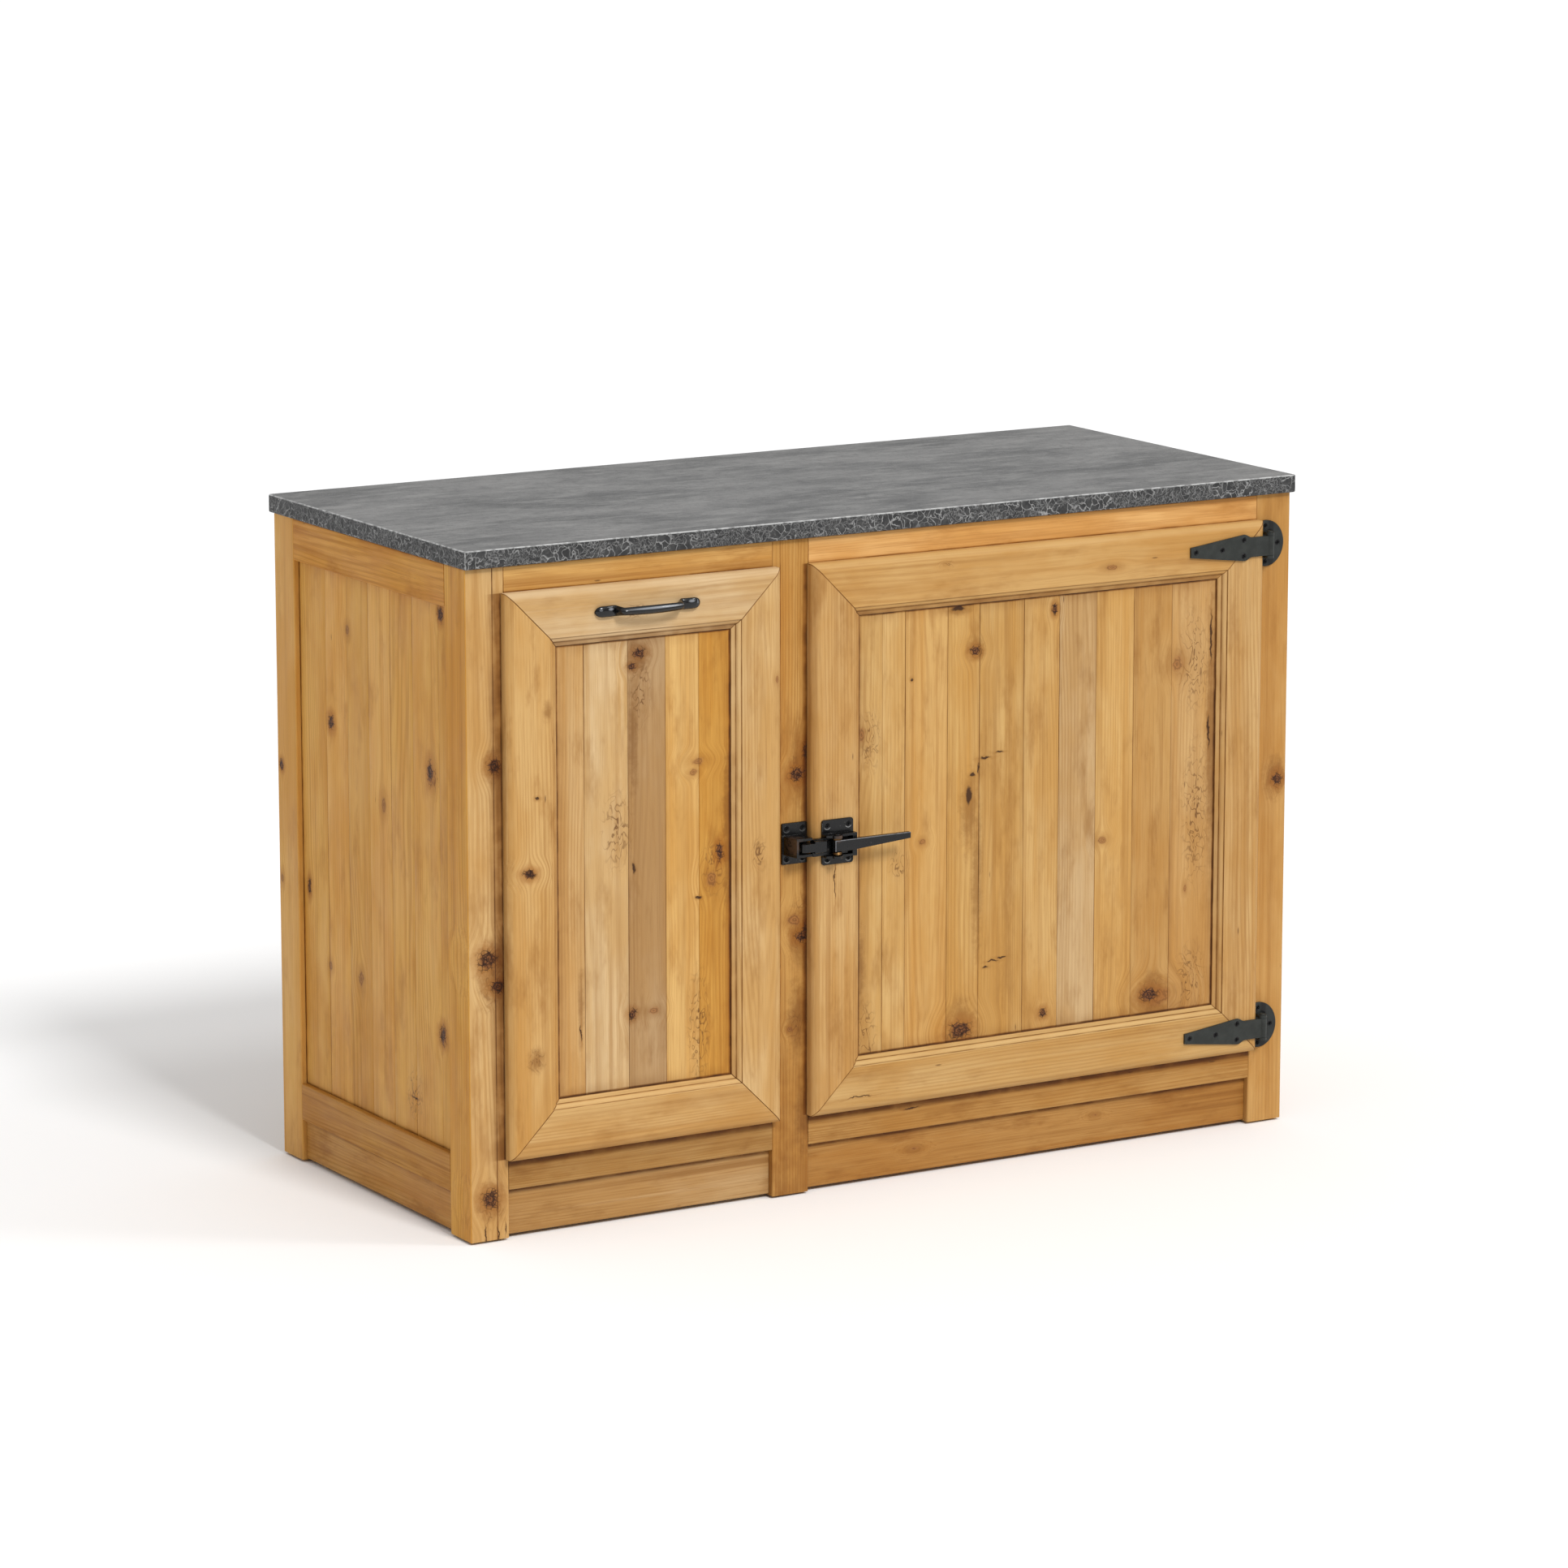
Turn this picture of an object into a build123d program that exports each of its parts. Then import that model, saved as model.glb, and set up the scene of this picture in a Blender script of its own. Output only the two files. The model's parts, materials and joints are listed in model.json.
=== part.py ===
"""Kitchen base cabinet in reclaimed pine with a stone worktop.

Two bays: a narrow pull-out on the left and a wide hinged door on the right.
Millimetres. X runs to the viewer's right, Y to the back, Z up. The origin is
the middle of the whole cabinet on the floor.
"""

import os

from build123d import *

os.makedirs("parts", exist_ok=True)

# Overall sizes
total_height = 900
body_width = 1262
body_depth = 540
left_bay_width = 392

# Worktop
worktop_thickness = 24
worktop_side_overhang = 4
worktop_front_overhang = 8
worktop_back_overhang = 8
worktop_corner_radius = 3
worktop_arris = 1.2

# Posts, rails and plinths
post_width = 55
post_depth = 57
glide_height = 3
glide_radius = 12
timber_ease = 1.2
front_rail_thickness = 24
front_top_rail_height = 60
front_bottom_rail_base = 66
front_bottom_rail_height = 62
side_rail_thickness = 22
side_top_rail_height = 56
side_bottom_rail_base = 59
side_bottom_rail_height = 50
back_rail_thickness = 22
plinth_floor_gap = 5
front_plinth_recess = 9
side_plinth_recess = 6
plinth_thickness = 18
tenon_length = 10
tenon_thickness = 10
tenon_shoulder = 10
tenon_clearance = 0.2

# Boarded side panels, let into grooves
side_board_thickness = 12
side_board_recess = 8
side_board_shares = (81, 62, 61, 62, 62, 72, 40)
groove_depth = 8
groove_clearance = 0.2
panel_end_gap = 1
tongue_thickness = 3
tongue_length = 3
tongue_clearance = 0.2

# Back, floor, partition and shelf
back_panel_thickness = 6
floor_thickness = 15
bearer_thickness = 20
bearer_height = 22
partition_thickness = 18
fitting_gap = 0.5
shelf_thickness = 18
shelf_base = 470
shelf_front_setback = 28
shelf_back_setback = 4
shelf_pin_radius = 2.5
shelf_pin_length = 16
shelf_pin_depth = 8
shelf_pin_setback = 15
shelf_hole_spacing = 32
shelf_hole_rows = 3

# Mitred fronts
front_thickness = 18
front_gap = 0.8
front_bottom_overlap = 21
front_top_reveal = 34
pullout_overlap = 5
door_overlap = 3
frame_width = 73
edge_round_width = 12
edge_round_depth = 8
moulding_width = 12
quirk_depth = 1.8
bead_width = 6
bead_drop = 4
panel_lip = 1.6
panel_thickness = 8
panel_rebate = 10
moulding_step = 0.8
pullout_board_shares = (50, 64, 55, 49, 56)
door_board_shares = (47, 35, 66, 50, 70, 56, 59, 60, 62, 81)

# Strap hinges
strap_length = 124
strap_thickness = 3
strap_tip_half = 6.8
strap_shoulder_half = 18
strap_neck_half = 13.3
strap_shoulder_from_tip = 88
strap_neck_from_tip = 101
strap_edge_distance = 33
strap_screw_offsets = ((8, 0), (51, 0), (86, 11), (86, -11))
knuckle_radius = 6
knuckle_gap = 1
knuckle_axis_depth = 1
hinge_pin_radius = 2.5
hinge_pin_running = 0.05
hinge_pin_seat = 0.02
hinge_pin_head_lip = 1.6
hinge_pin_head_height = 1.8
hinge_pin_head_ease = 0.9
ear_height = 4
ear_gap = 0.4
ear_taper = 2.5
ear_foot = 8
hinge_plate_height = 63
hinge_plate_width = 37.5
hinge_plate_bulge = 28.5
hinge_plate_thickness = 3.5
hinge_plate_gap = 2.5
hinge_plate_screw_offsets = ((6.5, 24), (6.5, -24), (27, 0))

# Wood screws
screw_radius = 1.7
screw_head_radius = 3.9
screw_head_angle = 90
screw_length = 14
screw_pilot_clearance = 0.1
screw_head_clearance = 0.15

# Lever latch
latch_height = 475
latch_drop = 1.5
latch_plate_width = 48
latch_plate_height = 60
latch_plate_corner = 4
latch_plate_thickness = 3
latch_plate_inset = 10.5
latch_screw_spacing_x = 32
latch_screw_spacing_z = 44.5
bolt_gap = 0.4
bolt_head_half = 8.2
nose_half = 5.5
nose_length = 18
bolt_thickness = 7
lever_bolt_travel = 5
housing_end_width = 7
bolt_notch_depth = 2.8
bolt_notch_height = 9.2
toe_clearance = 0.8
pivot_inset = 25
pivot_radius = 2.5
pivot_head_lip = 1.4
pivot_head_height = 1.6
pivot_head_ease = 0.7
hub_radius = 6
lever_half_height = 7.4
lever_tip_height = 8
lever_straight = 20
lever_length = 110
lever_thickness = 8
lever_tip_thickness = 6
toe_reach = 9
toe_width = 5
toe_half_height = 4
washer_height = 2
washer_radius = 6.5
washer_bolt_gap = 0.3
spring_gap = 0.35
spring_wire_radius = 0.9
spring_wire_sides = 6
spring_coil_radius = 5.3
spring_turns = 2.25
spring_pitch = 1.75
cheek_thickness = 3.6
cheek_gap = 0.25
cheek_depth = 14.2
cheek_lug_half_width = 7

# Latch keeper on the centre post
keeper_plate_width = 38
keeper_plate_height = 55
keeper_plate_thickness = 3
keeper_plate_gap = 1
keeper_screw_spacing_x = 24
keeper_screw_spacing_z = 40
keeper_box_left = 5
keeper_box_width = 25
keeper_box_depth = 30
keeper_wall = 5
keeper_floor = 9
keeper_pocket_half_height = 8.6
strike_radius = 2.5
nose_gap = 0.6

# Pull handle
handle_length = 152
handle_foot_length = 27.5
handle_foot_half_height = 7.5
handle_foot_corner = 5.5
handle_foot_rounding = 2.2
handle_foot_depth = 7
handle_foot_draft = 8
handle_bar_half_height = 5.6
handle_bar_half_depth = 4.2
handle_bar_root_half_height = 6.2
handle_bar_root_half_depth = 3.4
handle_bar_root_inset = 9
handle_bar_neck_half_height = 3.8
handle_bar_neck_half_depth = 3.2
handle_bar_neck_inset = 3
handle_bar_bend_reach = 15
handle_bar_bend_rise = 4
handle_projection = 20
handle_height_from_top = 32.5
handle_screw_radius = 2
handle_screw_clearance = 0.15
handle_screw_head_radius = 4
handle_screw_head_height = 2.4

# Pull-out box and its runners
box_height = 240
box_base = 150
box_length = 440
box_wall = 15
box_bottom_thickness = 6
box_bottom_rise = 12
box_groove = 6
runner_thickness = 12.7
runner_height = 45
runner_length = 440
runner_wall = 1.2
runner_centre_height = 215
runner_middle_height = 38
runner_inner_height = 29
runner_web_gap = 0.6
runner_front_gap = 4
batten_height = 60
bracket_thickness = 2
bracket_flange = 22
bracket_height = 130
bracket_reach = 60
bracket_drop = 45
bracket_clearance = 3
bracket_top_width = 10
bracket_hole_radius = 2.4

# Positions worked out from the sizes above
carcass_top = total_height - worktop_thickness
left_face = -body_width / 2
right_face = body_width / 2
front_reach = front_gap + front_thickness + handle_projection + handle_bar_half_depth
whole_depth = front_reach + body_depth + worktop_back_overhang
face_y = front_reach - whole_depth / 2
back_y = face_y + body_depth
front_back_y = face_y - front_gap
door_face_y = front_back_y - front_thickness

post_left = {
    "left": left_face,
    "centre": left_face + post_width + left_bay_width,
    "right": right_face - post_width,
}
left_bay = (left_face + post_width, post_left["centre"])
right_bay = (post_left["centre"] + post_width, right_face - post_width)
side_inner_left = left_face + side_board_recess + side_board_thickness
side_inner_right = -side_inner_left
rail_inner_left = left_face + side_rail_thickness
side_run = (face_y + post_depth, back_y - post_depth)
floor_top = front_bottom_rail_base + front_bottom_rail_height
floor_base = floor_top - floor_thickness
back_panel_back = back_y - back_rail_thickness
back_panel_front = back_panel_back - back_panel_thickness
partition_right = post_left["centre"] + partition_thickness
pullout_x = (left_bay[0] - pullout_overlap, left_bay[1] + pullout_overlap)
door_x = (right_bay[0] - door_overlap, right_bay[1] + door_overlap)
front_bottom = floor_top - front_bottom_overlap
front_top = carcass_top - front_top_reveal
front_z = (front_bottom, front_top)
pivot_depth = latch_plate_thickness + bolt_gap + bolt_thickness + washer_bolt_gap + washer_radius


def finish(piece, label):
    """Names a finished piece and writes it."""
    piece.label = label
    export_step(piece, f"parts/{label}.step")


def group(pieces):
    """Separate solids that share one name."""
    return Compound(children=pieces)


def middle(span):
    return (span[0] + span[1]) / 2


def length_of(span):
    return span[1] - span[0]


def facing(y, z=0):
    """A drawing plane seen from the front: local X to the right, local Y up from height z."""
    return Plane(origin=(0, y, z), x_dir=(1, 0, 0), z_dir=(0, -1, 0))


def end_plane(grain, start):
    """The plane at the low end of a timber whose grain runs along an axis."""
    planes = {
        "x": Plane(origin=(start, 0, 0), x_dir=(0, 1, 0), z_dir=(1, 0, 0)),
        "y": Plane(origin=(0, start, 0), x_dir=(0, 0, 1), z_dir=(0, 1, 0)),
        "z": Plane(origin=(0, 0, start), x_dir=(1, 0, 0), z_dir=(0, 0, 1)),
    }
    return planes[grain]


def across(spans, grain):
    """The two spans of a timber's section, in the order of its end plane."""
    order = {"x": ("y", "z"), "y": ("z", "x"), "z": ("x", "y")}
    return [spans[axis] for axis in order[grain]]


def spans_of(x, y, z):
    return {"x": x, "y": y, "z": z}


def cut_box(spans, margin=0):
    """Takes a box, grown by a margin, out of the part being built."""
    centre = tuple(middle(spans[axis]) for axis in "xyz")
    size = tuple(length_of(spans[axis]) + 2 * margin for axis in "xyz")
    with Locations(centre):
        Box(*size, mode=Mode.SUBTRACT)


def meets(first, second):
    return all(first[a][0] < second[a][1] and second[a][0] < first[a][1] for a in "xyz")


def tenon_spans(spans, grain):
    """The stub tenons of a rail: longer than the rail, thinner and less high."""
    thin = min((a for a in "xyz" if a != grain), key=lambda a: length_of(spans[a]))
    result = {}
    for axis in "xyz":
        low, high = spans[axis]
        if axis == grain:
            result[axis] = (low - tenon_length, high + tenon_length)
        elif axis == thin:
            half = tenon_thickness / 2
            result[axis] = (middle((low, high)) - half, middle((low, high)) + half)
        else:
            result[axis] = (low + tenon_shoulder, high - tenon_shoulder)
    return result


def timber(spans, grain, tenons=False, pockets=(), mortises=()):
    """A straight timber with eased long edges, stub tenons, grooves and mortises."""
    width, height = across(spans, grain)
    with BuildPart() as bar:
        with BuildSketch(end_plane(grain, spans[grain][0])) as section:
            with Locations((middle(width), middle(height))):
                Rectangle(length_of(width), length_of(height))
            chamfer(section.vertices(), timber_ease)
        extrude(amount=length_of(spans[grain]))
        if tenons:
            stub = tenon_spans(spans, grain)
            stub_width, stub_height = across(stub, grain)
            with BuildSketch(end_plane(grain, stub[grain][0])):
                with Locations((middle(stub_width), middle(stub_height))):
                    Rectangle(length_of(stub_width), length_of(stub_height))
            extrude(amount=length_of(stub[grain]))
        for pocket in pockets:
            if meets(spans, pocket):
                cut_box(pocket, groove_clearance)
        for mortise in mortises:
            if meets(spans, mortise):
                cut_box(mortise, tenon_clearance)
    return bar.part


def screw_seats(points, y, into):
    """Pilot holes for wood screws in the part being built, from a face seen from the front."""
    with BuildSketch(facing(y)) as seats:
        with Locations(*points):
            Circle(screw_radius + screw_pilot_clearance)
    extrude(seats.sketch, amount=-into, mode=Mode.SUBTRACT)


def wood_screw(point, head_y):
    """A countersunk wood screw, turned about an axis that points to the viewer."""
    cone = screw_head_radius - screw_radius
    axis_plane = Plane(origin=(point[0], head_y, point[1]), x_dir=(1, 0, 0), z_dir=(0, 0, 1))
    with BuildPart() as screw:
        with BuildSketch(axis_plane):
            with BuildLine():
                Polyline(
                    (0, 0),
                    (screw_head_radius, 0),
                    (screw_radius, cone),
                    (screw_radius, screw_length),
                    (0, screw_length),
                    (0, 0),
                )
            make_face()
        revolve(axis=Axis(origin=(point[0], head_y, point[1]), direction=(0, 1, 0)))
    return screw.part


# Worktop: one slab with softened vertical corners and a fine arris
worktop_x = (left_face - worktop_side_overhang, right_face + worktop_side_overhang)
worktop_y = (face_y - worktop_front_overhang, back_y + worktop_back_overhang)
with BuildPart() as worktop:
    with BuildSketch(Plane.XY.offset(carcass_top)):
        with Locations((middle(worktop_x), middle(worktop_y))):
            RectangleRounded(
                length_of(worktop_x), length_of(worktop_y), worktop_corner_radius
            )
    extrude(amount=worktop_thickness)
    chamfer(worktop.faces().filter_by(Axis.Z).edges(), worktop_arris)
finish(worktop.part, "worktop")

# Rails with stub tenons
front_depth = (face_y, face_y + front_rail_thickness)
back_depth = (back_y - back_rail_thickness, back_y)
left_rail_x = (left_face, left_face + side_rail_thickness)
right_rail_x = (right_face - side_rail_thickness, right_face)
back_bay = (left_face + post_width, right_face - post_width)
front_top_z = (carcass_top - front_top_rail_height, carcass_top)
front_bottom_z = (front_bottom_rail_base, floor_top)
side_top_z = (carcass_top - side_top_rail_height, carcass_top)
side_bottom_z = (side_bottom_rail_base, side_bottom_rail_base + side_bottom_rail_height)
rails = {
    "top_rail_front_left": (spans_of(left_bay, front_depth, front_top_z), "x"),
    "top_rail_front_right": (spans_of(right_bay, front_depth, front_top_z), "x"),
    "bottom_rail_front_left": (spans_of(left_bay, front_depth, front_bottom_z), "x"),
    "bottom_rail_front_right": (spans_of(right_bay, front_depth, front_bottom_z), "x"),
    "top_rail_side_left": (spans_of(left_rail_x, side_run, side_top_z), "y"),
    "top_rail_side_right": (spans_of(right_rail_x, side_run, side_top_z), "y"),
    "bottom_rail_side_left": (spans_of(left_rail_x, side_run, side_bottom_z), "y"),
    "bottom_rail_side_right": (spans_of(right_rail_x, side_run, side_bottom_z), "y"),
    "top_rail_back": (spans_of(back_bay, back_depth, side_top_z), "x"),
    "bottom_rail_back": (spans_of(back_bay, back_depth, side_bottom_z), "x"),
}
side_board_x = {
    "left": (left_face + side_board_recess, side_inner_left),
    "right": (side_inner_right, right_face - side_board_recess),
}
side_groove_y = (side_run[0] - groove_depth, side_run[1] + groove_depth)
side_groove_z = (side_bottom_z[1] - groove_depth, side_top_z[0] + groove_depth)
side_grooves = [spans_of(side_board_x[s], side_groove_y, side_groove_z) for s in side_board_x]
back_rails = []
for label, (spans, grain) in rails.items():
    rail = timber(spans, grain, tenons=True, pockets=side_grooves)
    if label.endswith("back"):
        back_rails.append(rail)
    else:
        finish(rail, label)
finish(group(back_rails), "back_rails")

# Posts with mortises for the tenons, grooves for the side boards and shelf pin holes
post_z = (glide_height, carcass_top)
front_post_y = (face_y, face_y + post_depth)
back_post_y = (back_y - post_depth, back_y)
posts = {
    "post_front_left": (post_left["left"], front_post_y),
    "post_front_centre": (post_left["centre"], front_post_y),
    "post_front_right": (post_left["right"], front_post_y),
    "post_back_left": (post_left["left"], back_post_y),
    "post_back_right": (post_left["right"], back_post_y),
}
post_spans = {
    label: spans_of((x, x + post_width), y, post_z) for label, (x, y) in posts.items()
}
tenons = [tenon_spans(spans, grain) for spans, grain in rails.values()]

hinge_heights = (front_top - strap_edge_distance, front_bottom + strap_edge_distance)
hinge_axis_x = door_x[1] + knuckle_gap + knuckle_radius
hinge_axis_y = door_face_y + knuckle_axis_depth
hinge_plate_x = door_x[1] + hinge_plate_gap
hinge_plate_y = face_y - hinge_plate_thickness
hinge_plate_screws = [
    (hinge_plate_x + dx, z + dz)
    for z in hinge_heights
    for dx, dz in hinge_plate_screw_offsets
]
keeper_x = (door_x[0] - keeper_plate_gap - keeper_plate_width, door_x[0] - keeper_plate_gap)
keeper_plate_y = face_y - keeper_plate_thickness
keeper_screws = [
    (middle(keeper_x) + sx * keeper_screw_spacing_x / 2, latch_height + sz * keeper_screw_spacing_z / 2)
    for sx in (-1, 1)
    for sz in (-1, 1)
]
shelf_pin_rows = [
    shelf_base - shelf_pin_radius + (row - (shelf_hole_rows - 1) / 2) * shelf_hole_spacing
    for row in range(shelf_hole_rows)
]
shelf_pin_height = shelf_base - shelf_pin_radius
shelf_pins = [
    (partition_right, face_y + post_depth + shelf_pin_setback, 1),
    (partition_right, back_panel_front - 3 * shelf_pin_setback, 1),
    (right_bay[1], face_y + post_depth - shelf_pin_setback, -1),
    (right_bay[1], back_y - post_depth + shelf_pin_setback, -1),
]


def shelf_holes(x, y, points_to):
    """A column of shelf pin holes in a face whose room side is at x."""
    plane = Plane(origin=(x, y, 0), x_dir=(0, points_to, 0), z_dir=(points_to, 0, 0))
    with BuildSketch(plane) as column:
        with Locations(*[(0, z) for z in shelf_pin_rows]):
            Circle(shelf_pin_radius + tenon_clearance / 2)
    extrude(column.sketch, amount=-shelf_pin_depth, mode=Mode.SUBTRACT)


for label, spans in post_spans.items():
    blank = timber(spans, "z", pockets=side_grooves, mortises=tenons)
    with BuildPart() as post:
        add(blank)
        if label == "post_front_right":
            screw_seats(hinge_plate_screws, hinge_plate_y, screw_length)
            shelf_holes(*shelf_pins[2])
        if label == "post_back_right":
            shelf_holes(*shelf_pins[3])
        if label == "post_front_centre":
            screw_seats(keeper_screws, keeper_plate_y, screw_length)
    finish(post.part, label)

# Plinth boards between the feet, set back from the posts
front_plinth_y = (face_y + front_plinth_recess, face_y + front_plinth_recess + plinth_thickness)
plinth_left_x = (left_face + side_plinth_recess, left_face + side_plinth_recess + plinth_thickness)
plinth_right_x = (-plinth_left_x[1], -plinth_left_x[0])
front_plinth_z = (plinth_floor_gap, front_bottom_rail_base)
side_plinth_z = (plinth_floor_gap, side_bottom_rail_base)
finish(timber(spans_of(left_bay, front_plinth_y, front_plinth_z), "x"), "plinth_front_left")
finish(timber(spans_of(right_bay, front_plinth_y, front_plinth_z), "x"), "plinth_front_right")
side_plinths = [
    timber(spans_of(x, side_run, side_plinth_z), "y") for x in (plinth_left_x, plinth_right_x)
]
finish(group(side_plinths), "plinths_side")


def board(plane, start, stop, thickness, height, tongue, groove):
    """One matchboard drawn in plan: its face on the plane's local X axis, back above it."""
    middle_depth = thickness / 2
    half = tongue_thickness / 2
    slot = half + tongue_clearance
    depth = tongue_length + tongue_clearance
    outline = [(start, 0), (stop, 0)]
    if tongue:
        outline += [
            (stop, middle_depth - half),
            (stop + tongue_length, middle_depth - half),
            (stop + tongue_length, middle_depth + half),
            (stop, middle_depth + half),
        ]
    outline += [(stop, thickness), (start, thickness)]
    if groove:
        outline += [
            (start, middle_depth + slot),
            (start + depth, middle_depth + slot),
            (start + depth, middle_depth - slot),
            (start, middle_depth - slot),
        ]
    outline.append(outline[0])
    with BuildPart() as plank:
        with BuildSketch(plane):
            with BuildLine():
                Polyline(*outline)
            make_face()
        extrude(amount=height)
    return plank.part


def matchboards(plane, width, shares, thickness, height):
    """A panel of tongued and grooved boards whose widths follow the shares."""
    edges = [0]
    for share in shares:
        edges.append(edges[-1] + width * share / sum(shares))
    last = len(shares) - 1
    return [
        board(plane, edges[i], edges[i + 1], thickness, height, i < last, i > 0)
        for i in range(len(shares))
    ]


# Boarded sides, held in the grooves of posts and rails
side_boards_y = (side_groove_y[0] + panel_end_gap, side_groove_y[1] - panel_end_gap)
side_boards_z = (side_groove_z[0] + panel_end_gap, side_groove_z[1] - panel_end_gap)
side_planes = {
    "side_boards_left": Plane(
        origin=(side_board_x["left"][0], side_boards_y[1], side_boards_z[0]),
        x_dir=(0, -1, 0),
        z_dir=(0, 0, 1),
    ),
    "side_boards_right": Plane(
        origin=(side_board_x["right"][1], side_boards_y[0], side_boards_z[0]),
        x_dir=(0, 1, 0),
        z_dir=(0, 0, 1),
    ),
}
side_shares = {
    "side_boards_left": side_board_shares,
    "side_boards_right": side_board_shares[::-1],
}
for label, plane in side_planes.items():
    boards = matchboards(
        plane,
        length_of(side_boards_y),
        side_shares[label],
        side_board_thickness,
        length_of(side_boards_z),
    )
    finish(group(boards), label)

# Back panel, planted on the inside of the back rails
with BuildPart() as back_panel:
    with BuildSketch(facing(back_panel_back)):
        back_x = (back_bay[0] + fitting_gap, back_bay[1] - fitting_gap)
        back_z = (side_bottom_z[0], carcass_top - fitting_gap)
        with Locations((middle(back_x), middle(back_z))):
            Rectangle(length_of(back_x), length_of(back_z))
    extrude(amount=back_panel_thickness)
finish(back_panel.part, "back_panel")

# Floor bearers behind the bottom rails
bearer_z = (floor_base - bearer_height, floor_base)
bearer_y = (front_depth[1], front_depth[1] + bearer_thickness)
back_bearer_y = (back_panel_front - bearer_thickness, back_panel_front)
side_bearer_y = side_run
left_bearer_x = (rail_inner_left, rail_inner_left + bearer_thickness)
right_bearer_x = (-left_bearer_x[1], -left_bearer_x[0])
bearers = [
    timber(spans_of(left_bay, bearer_y, bearer_z), "x"),
    timber(spans_of(right_bay, bearer_y, bearer_z), "x"),
    timber(spans_of(back_bay, back_bearer_y, bearer_z), "x"),
    timber(spans_of(left_bearer_x, side_bearer_y, bearer_z), "y"),
    timber(spans_of(right_bearer_x, side_bearer_y, bearer_z), "y"),
]
finish(group(bearers), "floor_bearers")

# Floor panel, notched round the posts
with BuildPart() as floor_panel:
    floor_x = (rail_inner_left, -rail_inner_left)
    floor_y = (front_depth[1], back_panel_front)
    with BuildSketch(Plane.XY.offset(floor_base)):
        with Locations((middle(floor_x), middle(floor_y))):
            Rectangle(length_of(floor_x), length_of(floor_y))
    extrude(amount=floor_thickness)
    for spans in post_spans.values():
        cut_box(spans, fitting_gap)
finish(floor_panel.part, "floor_panel")

# Partition between the bays, with shelf pin holes on its right
partition_y = (front_post_y[1], back_panel_front)
with BuildPart() as partition:
    with BuildSketch(Plane.XY.offset(floor_top)):
        with Locations((post_left["centre"] + partition_thickness / 2, middle(partition_y))):
            Rectangle(partition_thickness, length_of(partition_y))
    extrude(amount=carcass_top - floor_top)
    shelf_holes(*shelf_pins[0])
    shelf_holes(*shelf_pins[1])
finish(partition.part, "partition")

# Shelf of the right bay, notched round the right posts
with BuildPart() as shelf:
    shelf_x = (partition_right + fitting_gap, side_inner_right - fitting_gap)
    shelf_y = (face_y + shelf_front_setback, back_panel_front - shelf_back_setback)
    with BuildSketch(Plane.XY.offset(shelf_base)):
        with Locations((middle(shelf_x), middle(shelf_y))):
            Rectangle(length_of(shelf_x), length_of(shelf_y))
    extrude(amount=shelf_thickness)
    for spans in post_spans.values():
        cut_box(spans, fitting_gap)
    front_edge = shelf.faces().sort_by(Axis.Y)[0].edges().filter_by(Axis.X)
    fillet(front_edge, 2)
finish(shelf.part, "shelf")

# Shelf pins, half in their holes
pins = []
for x, y, points_to in shelf_pins:
    start = x - points_to * shelf_pin_depth
    with BuildPart() as pin:
        with BuildSketch(Plane(origin=(start, y, shelf_pin_height), z_dir=(points_to, 0, 0))):
            Circle(shelf_pin_radius)
        extrude(amount=shelf_pin_length)
        chamfer(pin.edges().filter_by(GeomType.CIRCLE), 0.5)
    pins.append(pin.part)
finish(group(pins), "shelf_pins")

# Glides under the posts
glides = []
for spans in post_spans.values():
    with BuildPart() as glide:
        with BuildSketch(Plane((middle(spans["x"]), middle(spans["y"]), 0))):
            Circle(glide_radius)
        extrude(amount=glide_height)
        chamfer(glide.faces().sort_by(Axis.Z)[0].edges(), 1)
    glides.append(glide.part)
finish(group(glides), "floor_glides")


def moulding_section(plane):
    """The section of a front's frame: outer edge at x = 0, back at y = 0, face at the top."""
    round_top = (edge_round_width, front_thickness)
    round_foot = (0, front_thickness - edge_round_depth)
    first_step = frame_width - moulding_width
    quirk = front_thickness - quirk_depth
    bead_foot = quirk - bead_drop
    lip_foot = panel_thickness
    lip_top = panel_thickness + panel_lip
    with BuildSketch(plane) as section:
        with BuildLine():
            Line((0, 0), round_foot)
            TangentArc(round_top, round_foot, tangent=(-1, 0))
            Line(round_top, (first_step, front_thickness))
            Line((first_step, front_thickness), (first_step, quirk))
            bead_start = (first_step + moulding_step, quirk)
            bead_end = (first_step + bead_width, bead_foot)
            Line((first_step, quirk), bead_start)
            TangentArc(bead_start, bead_end, tangent=(1, 0))
            step_foot = bead_foot - moulding_step
            Line(bead_end, (first_step + bead_width, step_foot))
            cove_start = (first_step + bead_width + moulding_step, step_foot)
            Line((first_step + bead_width, step_foot), cove_start)
            TangentArc(cove_start, (frame_width, lip_top), tangent=(1, 0))
            Line((frame_width, lip_top), (frame_width, lip_foot))
            Line((frame_width, lip_foot), (frame_width - panel_rebate, lip_foot))
            Line((frame_width - panel_rebate, lip_foot), (frame_width - panel_rebate, 0))
            Line((frame_width - panel_rebate, 0), (0, 0))
        make_face()
    return section.sketch


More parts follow.
